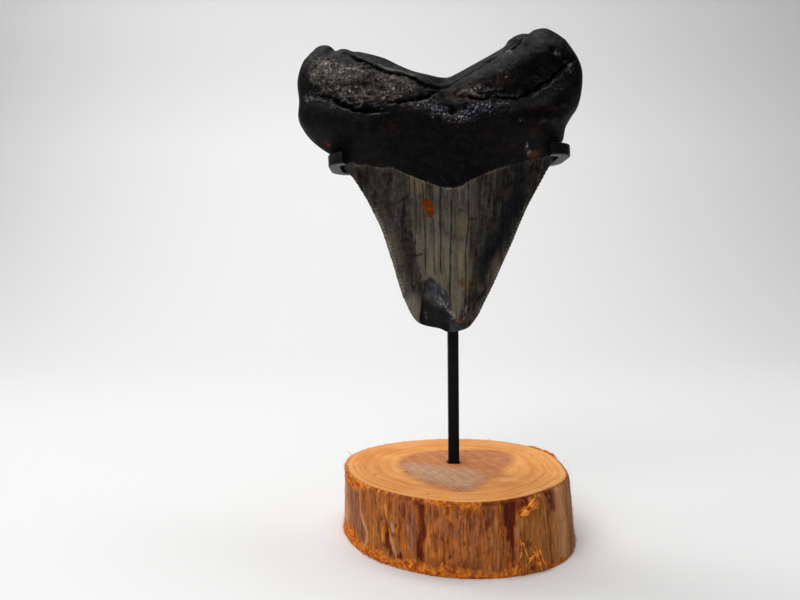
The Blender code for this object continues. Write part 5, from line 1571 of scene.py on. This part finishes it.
def enamel_colour(pen):
    """Streaked grey-brown enamel of the crown."""
    soft = pen.cloud(2.4, 6.0, roughness=0.65)
    tone = pen.added(pen.paint("pale"), pen.shade(pen.cloud(0.5, 4.0, ENAMEL_GRAIN), 0.3, 0.7, -0.17, 0.15))
    tone = pen.added(tone, pen.shade(soft, 0.3, 0.7, -0.1, 0.1), clamp=True)
    dull = pen.shade(pen.cloud(1.2, 6.0, (1.0, 1.0, 0.5), 0.7), 0.3, 0.7)
    scar = pen.layer(DARK_SCAR, (dull, PALE_SCAR), (pen.paint("deep", 0.9), DEEP_SCAR))
    return pen.layer(
        DARK_ENAMEL, (tone, PALE_ENAMEL), (pen.cover(4.0, 0.5, 0.62, 0.3), TAN_CLOUD),
        (pen.paint("tan", 0.75), pen.layer(DARK_TAN, (tone, PALE_TAN))),
        (pen.paint("smudge", 0.97), pen.layer(DARK_NAVY, (soft, NAVY))),
        (pen.shade(pen.cloud(0.42, 2.0, HAIRLINES), 0.6, 0.68, 0.0, 0.5), HAIRLINE),
        (pen.paint("streak"), STREAK_BLACK), (pen.paint("chip"), scar),
    )


def fossil_finish(mottle, grain):
    """Blackened bone and grey-brown enamel."""
    pen = make_pen("fossil_finish", mottle, grain)
    thick_rust = pen.layer(DARK_RUST, (pen.shade(pen.cloud(0.8, 5.0), 0.35, 0.65), BRIGHT_RUST))
    colour = pen.layer(
        bone_colour(pen), (pen.paint("crown"), enamel_colour(pen)),
        (pen.paint("rust"), pen.layer(THIN_RUST, (pen.paint("rust"), thick_rust))),
        # Creamy flecks, painted glints and the painted highlights on the serration points.
        (pen.paint("cream"), CREAM_AND_GLINT),
    )
    rough = pen.added(pen.shade(pen.cloud(1.1, 5.0), 0.3, 0.7, 0.38, 0.62), pen.paint("sand", 0.15))
    rough = pen.added(rough, pen.paint("crown", 0.04))
    specks = pen.specks(Size=0.45, Pitting=0.8).outputs["Height"]
    bone_height = pen.scaled(specks, pen.added(pen.paint("porous", 1.6), 0.3))
    heights = {0: pen.paint("crown"), 2: bone_height, 3: pen.scaled(pen.cloud(0.4, 3.0, ENAMEL_RIDGES), 0.35)}
    height = node(pen.tree, "ShaderNodeMix", heights, data_type="FLOAT").outputs[0]
    return finish_shader(pen, colour, rough, 0.05, height, 0.7, 0.12)


def turned_to_saw(tree, where):
    """Coordinates turned so that Y runs along the saw's cuts."""
    turn = math.atan2(SAW_HEADING[0], SAW_HEADING[1])
    return node(tree, "ShaderNodeMapping", {"Vector": where, "Rotation": (0.0, 0.0, turn)}).outputs[0]


def sawn_colour(pen):
    """Sapwood with its rings round a ragged heart, crossed by saw lines, and those lines."""
    sway = pen.shade(pen.cloud(7.0, 4.0), 0.3, 0.7, -0.022, 0.022)
    age = pen.added(pen.paint("age"), pen.scaled(sway, pen.shade(pen.paint("age"), 0.9, 1.0, 1.0, 0.0)))
    rings = ramp_colour(pen.tree, age, [(at, (dark, dark, dark)) for at, dark in RINGS])
    rings = pen.scaled(rings, pen.shade(pen.cloud(12.0, 3.0), 0.32, 0.6, 0.35, 1.0))
    outwards = node(pen.tree, "ShaderNodeCombineXYZ", {"X": age}).outputs[0]
    fine_rings = noise_value(pen.tree, outwards, 0.012 / MM, 2.0)
    sap = pen.layer(
        PALE_SAP, (pen.shade(pen.cloud(0.35, 4.0, roughness=0.7), 0.35, 0.68), DARK_SAP),
        (pen.cover(9.0, 0.42, 0.62, 0.4), CREAMY_SAP),
        (pen.shade(fine_rings, 0.45, 0.65, 0.0, 0.5), FINE_RING),
        (pen.paint("amber", 0.7), AMBER_SAP), (pen.scaled(rings, 0.92), DARK_RING),
    )
    lines = noise_value(pen.tree, turned_to_saw(pen.tree, pen.where), 0.36, 3.0, SAW_STRETCH, 0.6)
    soft = pen.cloud(2.2, 6.0, roughness=0.65)
    tone = pen.shade(soft, 0.3, 0.7)
    heart = pen.layer(
        DARK_HEART, (tone, PALE_HEART),
        (pen.paint("grey"), pen.layer(DARK_GREY_HEART, (tone, PALE_GREY_HEART))),
        (pen.paint("rosy", 0.6), pen.layer(DARK_ROSE, (soft, PALE_ROSE))),
        (pen.shade(lines, 0.54, 0.66, 0.0, 0.6), DARK_SAW_LINE),
        (pen.shade(lines, 0.44, 0.34, 0.0, 0.3), PALE_SAW_LINE),
    )
    crossing = pen.shade(lines, 0.58, 0.72, 0.0, 0.12)
    return pen.layer(sap, (pen.paint("heart"), heart), (crossing, SAW_LINE)), lines


def bark_colour(pen):
    """Stringy red-brown bark with its plates, bare under-bark and torn orange edges, and its fibre."""
    fibre = pen.cloud(0.42, 6.0, BARK_STRANDS, 0.68)
    coarse = pen.shade(pen.cloud(1.2, 5.0, BARK_RIBS, 0.6), 0.34, 0.66)
    thread = pen.scaled(pen.added(pen.shade(fibre, 0.36, 0.64), pen.paint("thread")), 0.5)
    splits = pen.shade(pen.cloud(0.75, 6.0, BARK_SPLITS, 0.6), 0.55, 0.64, 0.0, 0.75)
    torn = pen.layer(DARK_TEAR, (pen.shade(pen.cloud(1.1, 6.0, roughness=0.7), 0.4, 0.6), ORANGE_TEAR))
    bark = pen.layer(
        DARK_BARK, (pen.shade(thread, 0.25, 0.75), BRIGHT_BARK),
        (pen.cover(3.4, 0.45, 0.56, 0.7), BARK_CLOUD),
        (pen.paint("mauve", 0.94), pen.layer(DARK_MAUVE, (coarse, PALE_MAUVE))),
        (pen.paint("plate"), pen.layer(DARK_PLATE, (pen.shade(thread, 0.25, 0.8), PALE_PLATE))),
        # Bare inner bark, and the painted shadow above the torn tuft.
        (pen.paint("bare"), pen.layer(DARK_MAROON, (coarse, MAROON))),
        (pen.scaled(splits, pen.shade(pen.paint("plate"), 0.0, 1.0, 1.0, 0.35)), DARK_SPLIT),
        (pen.shade(pen.cloud(0.5, 4.0, BARK_RIBS), 0.62, 0.7, 0.0, 0.5), LIGHT_STRAND),
        (pen.paint("torn"), torn),
        # Pale peeled edges, and painted light on the front right of the bark.
        (pen.paint("peel", 0.9), pen.layer(DARK_PEEL_AND_PAINTED_LIGHT, (fibre, PALE_PEEL_AND_PAINTED_LIGHT))),
        # Painted shade in the gouges, with small dark specks.
        (pen.shade(pen.paint("pit"), 0.2, 0.9, 0.0, 0.9), GOUGE_SHADE_AND_SPECK),
    )
    return bark, fibre


def wood_finish(mottle, grain):
    """Sawn sapwood and heartwood inside torn reddish bark."""
    pen = make_pen("wood_finish", mottle, grain)
    face, lines = sawn_colour(pen)
    # Dark specks of the sawn faces, and painted shade on the socket's walls.
    face = pen.layer(face, (pen.shade(pen.paint("pit"), 0.1, 0.7, 0.0, 0.85), SAWN_SPECK_AND_SOCKET_SHADE))
    bark, fibre = bark_colour(pen)
    specks = pen.specks(Size=0.4, Pitting=0.3).outputs["Height"]
    face_height = pen.added(pen.scaled(lines, 0.8), pen.scaled(specks, 0.6))
    heights = {0: pen.paint("sawn"), 2: pen.added(pen.scaled(fibre, 2.4), specks), 3: face_height}
    height = node(pen.tree, "ShaderNodeMix", heights, data_type="FLOAT").outputs[0]
    colour = pen.layer(bark, (pen.paint("sawn"), face))
    return finish_shader(pen, colour, pen.shade(fibre, 0.3, 0.7, 0.62, 0.85), 0.14, height, 0.6, 0.14)


def fibre_finish(mottle, grain):
    """Loose orange fibres of torn bark."""
    pen = make_pen("fibre_finish", mottle, grain)
    colour = pen.layer(
        DARK_FIBRE, (pen.shade(pen.cloud(1.4, 4.0), 0.4, 0.6), ORANGE_FIBRE),
        (pen.cover(1.6, 0.58, 0.64, 0.45), PALE_FIBRE),
    )
    return finish_shader(pen, colour, pen.shade(pen.cloud(1.5), 0.3, 0.7, 0.6, 0.8), 0.2)


def steel_finish(mottle, grain):
    """Satin black paint on steel bar."""
    pen = make_pen("black_paint", mottle, grain)
    specks = pen.specks(Size=0.35, Pitting=0.3).outputs
    colour = pen.layer(
        BLACK_PAINT, (pen.cover(5.0, 0.5, 0.75, 0.5), DUSTY_PAINT),
        (pen.scaled(specks["Speck"], 0.25), PAINT_SPECK),
    )
    rough = pen.shade(specks["Height"], 0.4, 1.2, 0.34, 0.48)
    return finish_shader(pen, colour, rough, 0.1, specks["Height"], 0.25, 0.04)


# --------------------------------------------------------------------------- studio
EYE = (-16.0, -182.4, 72.5)  # place of the camera
PITCH = math.radians(-1.06)
ROLL = math.radians(-0.47)
FOCAL_PIXELS = 600.0
PICTURE_WIDTH = 800.0
SENSOR_WIDTH = 36.0


def place_camera():
    """The camera, level with the crown."""
    lens = bpy.data.cameras.new("camera")
    lens.sensor_fit = "HORIZONTAL"
    lens.sensor_width = SENSOR_WIDTH
    lens.lens = FOCAL_PIXELS / PICTURE_WIDTH * SENSOR_WIDTH
    lens.clip_start = 0.01
    camera = placed("camera", lens)
    forward = Vector((0.0, math.cos(PITCH), math.sin(PITCH)))
    level_up = Vector((0.0, -math.sin(PITCH), math.cos(PITCH)))
    level_right = Vector((1.0, 0.0, 0.0))
    right = math.cos(ROLL) * level_right + math.sin(ROLL) * level_up
    up = -math.sin(ROLL) * level_right + math.cos(ROLL) * level_up
    turn = Matrix((right, up, -forward)).transposed().to_4x4()
    camera.matrix_world = Matrix.Translation(Vector(EYE) * MM) @ turn
    bpy.context.scene.camera = camera


# The backdrop, in metres
SWEEP_START = 0.35  # behind the upright, where the floor starts to rise
SWEEP_RADIUS = 0.45
SWEEP_STEP = 6  # degrees
PAPER_HALF = 1.6
PAPER_FRONT = (-1.2, -0.3)
PAPER_TOP = (0.6, 0.8, 1.2)
# Painted shade: the paper is painted darker above 0.3 metres.
PAPER_SHADE_BY_HEIGHT = [(0, 0.8), (0.3, 0.79), (0.52, 0.66), (0.62, 0.52), (0.8, 0.44)]  # height in metres and shade
PAPER_WARMTH = 0.995  # how much blue its grey keeps
# Lights: name, place and aim in metres, size and power
LIGHTS = [
    ("overhead", (-0.15, -0.06, 0.62), (0.0, 0.0, 0.0), (0.6, 0.5), 1.28),
    ("front_window", (-0.32, -0.42, 0.5), (0.0, 0.0, 0.05), (0.45, 0.35), 2.05),
    ("left_window", (-0.75, 0.05, 0.35), (0.0, 0.0, 0.08), (0.4, 0.5), 0.6),
    ("backdrop_wash", (-0.1, 0.2, 0.95), (0.12, 0.75, 0.25), (1.4, 0.4), 8.0),
]
SURROUND_GLOW = 0.10  # on the object
SURROUND_SEEN = 0.80  # behind the backdrop, as the camera sees it


def make_backdrop():
    """A pale floor that sweeps up behind the object, painted greyer towards its top as painted shade."""
    bend = [math.radians(turn) for turn in range(SWEEP_STEP, 91, SWEEP_STEP)]
    profile = [(y, 0.0) for y in (*PAPER_FRONT, SWEEP_START)]
    profile += [(SWEEP_START + SWEEP_RADIUS * math.sin(a), SWEEP_RADIUS * (1 - math.cos(a))) for a in bend]
    profile += [(SWEEP_START + SWEEP_RADIUS, height) for height in PAPER_TOP]
    points = [(x, y, z) for y, z in profile for x in (-PAPER_HALF, PAPER_HALF)]
    faces = [(2 * k, 2 * k + 1, 2 * k + 3, 2 * k + 2) for k in range(len(profile) - 1)]
    mesh = bpy.data.meshes.new("backdrop")
    mesh.from_pydata(points, [], faces)
    mesh.shade_smooth()
    backdrop = placed("backdrop", mesh)
    pen = make_pen("backdrop_paper")
    height = node(pen.tree, "ShaderNodeSeparateXYZ", {0: pen.where}).outputs["Z"]
    colour = ramp_colour(pen.tree, height, [(at, (grey, grey, grey * PAPER_WARMTH)) for at, grey in PAPER_SHADE_BY_HEIGHT])
    mesh.materials.append(finish_shader(pen, colour, 0.8, 0.2))


def soft_light(name, where, aim, size, power):
    """A rectangular area light turned to face a point."""
    lamp = bpy.data.lights.new(name, "AREA")
    lamp.shape = "RECTANGLE"
    lamp.size, lamp.size_y = size
    lamp.energy = power
    made = placed(name, lamp)
    made.location = where
    made.rotation_euler = (Vector(aim) - Vector(where)).to_track_quat("-Z", "Y").to_euler()


def light_studio():
    """Soft light from above and a little left, a wash on the backdrop, and a dim surround."""
    for light in LIGHTS:
        soft_light(*light)
    world = bpy.data.worlds.new("surround")
    bpy.context.scene.world = world
    world.use_nodes = True
    tree = world.node_tree
    shade = tree.nodes["Background"]
    seen = node(tree, "ShaderNodeLightPath").outputs["Is Camera Ray"]
    put(tree, shade.inputs["Strength"], levels(tree, seen, 0.0, 1.0, SURROUND_GLOW, SURROUND_SEEN))
    shade.inputs["Color"].default_value = (1.0, 1.0, 1.0, 1.0)
    view = bpy.context.scene.view_settings
    view.view_transform = "Standard"
    view.look = "None"


# --------------------------------------------------------------------------- assembly
def fit(piece, finish, slot, *nodes):
    """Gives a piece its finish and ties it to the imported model."""
    piece.data.materials.clear()
    piece.data.materials.append(finish)
    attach(piece, "root")
    if nodes:
        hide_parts(*nodes)


def main():
    """Builds every piece, the studio and the lights."""
    mottle, grain = mottle_group(), grain_group()
    place_camera()
    make_backdrop()
    light_studio()
    black_paint, torn_fibres = steel_finish(mottle, grain), fibre_finish(mottle, grain)
    fit(make_tooth(), fossil_finish(mottle, grain), "fossil_tooth", "tooth")
    wood_slice = make_slice()
    fit(make_fibres(wood_slice, torn_fibres), torn_fibres, "wood_and_bark")
    fit(make_splinters(), torn_fibres, "wood_and_bark")
    fit(wood_slice, wood_finish(mottle, grain), "wood_and_bark", "wood_slice")
    fit(make_cradle(), black_paint, "black_steel", "cradle_bar")
    fit(make_upright(), black_paint, "black_steel", "upright_bar")


main()
bpy.context.view_layer.update()
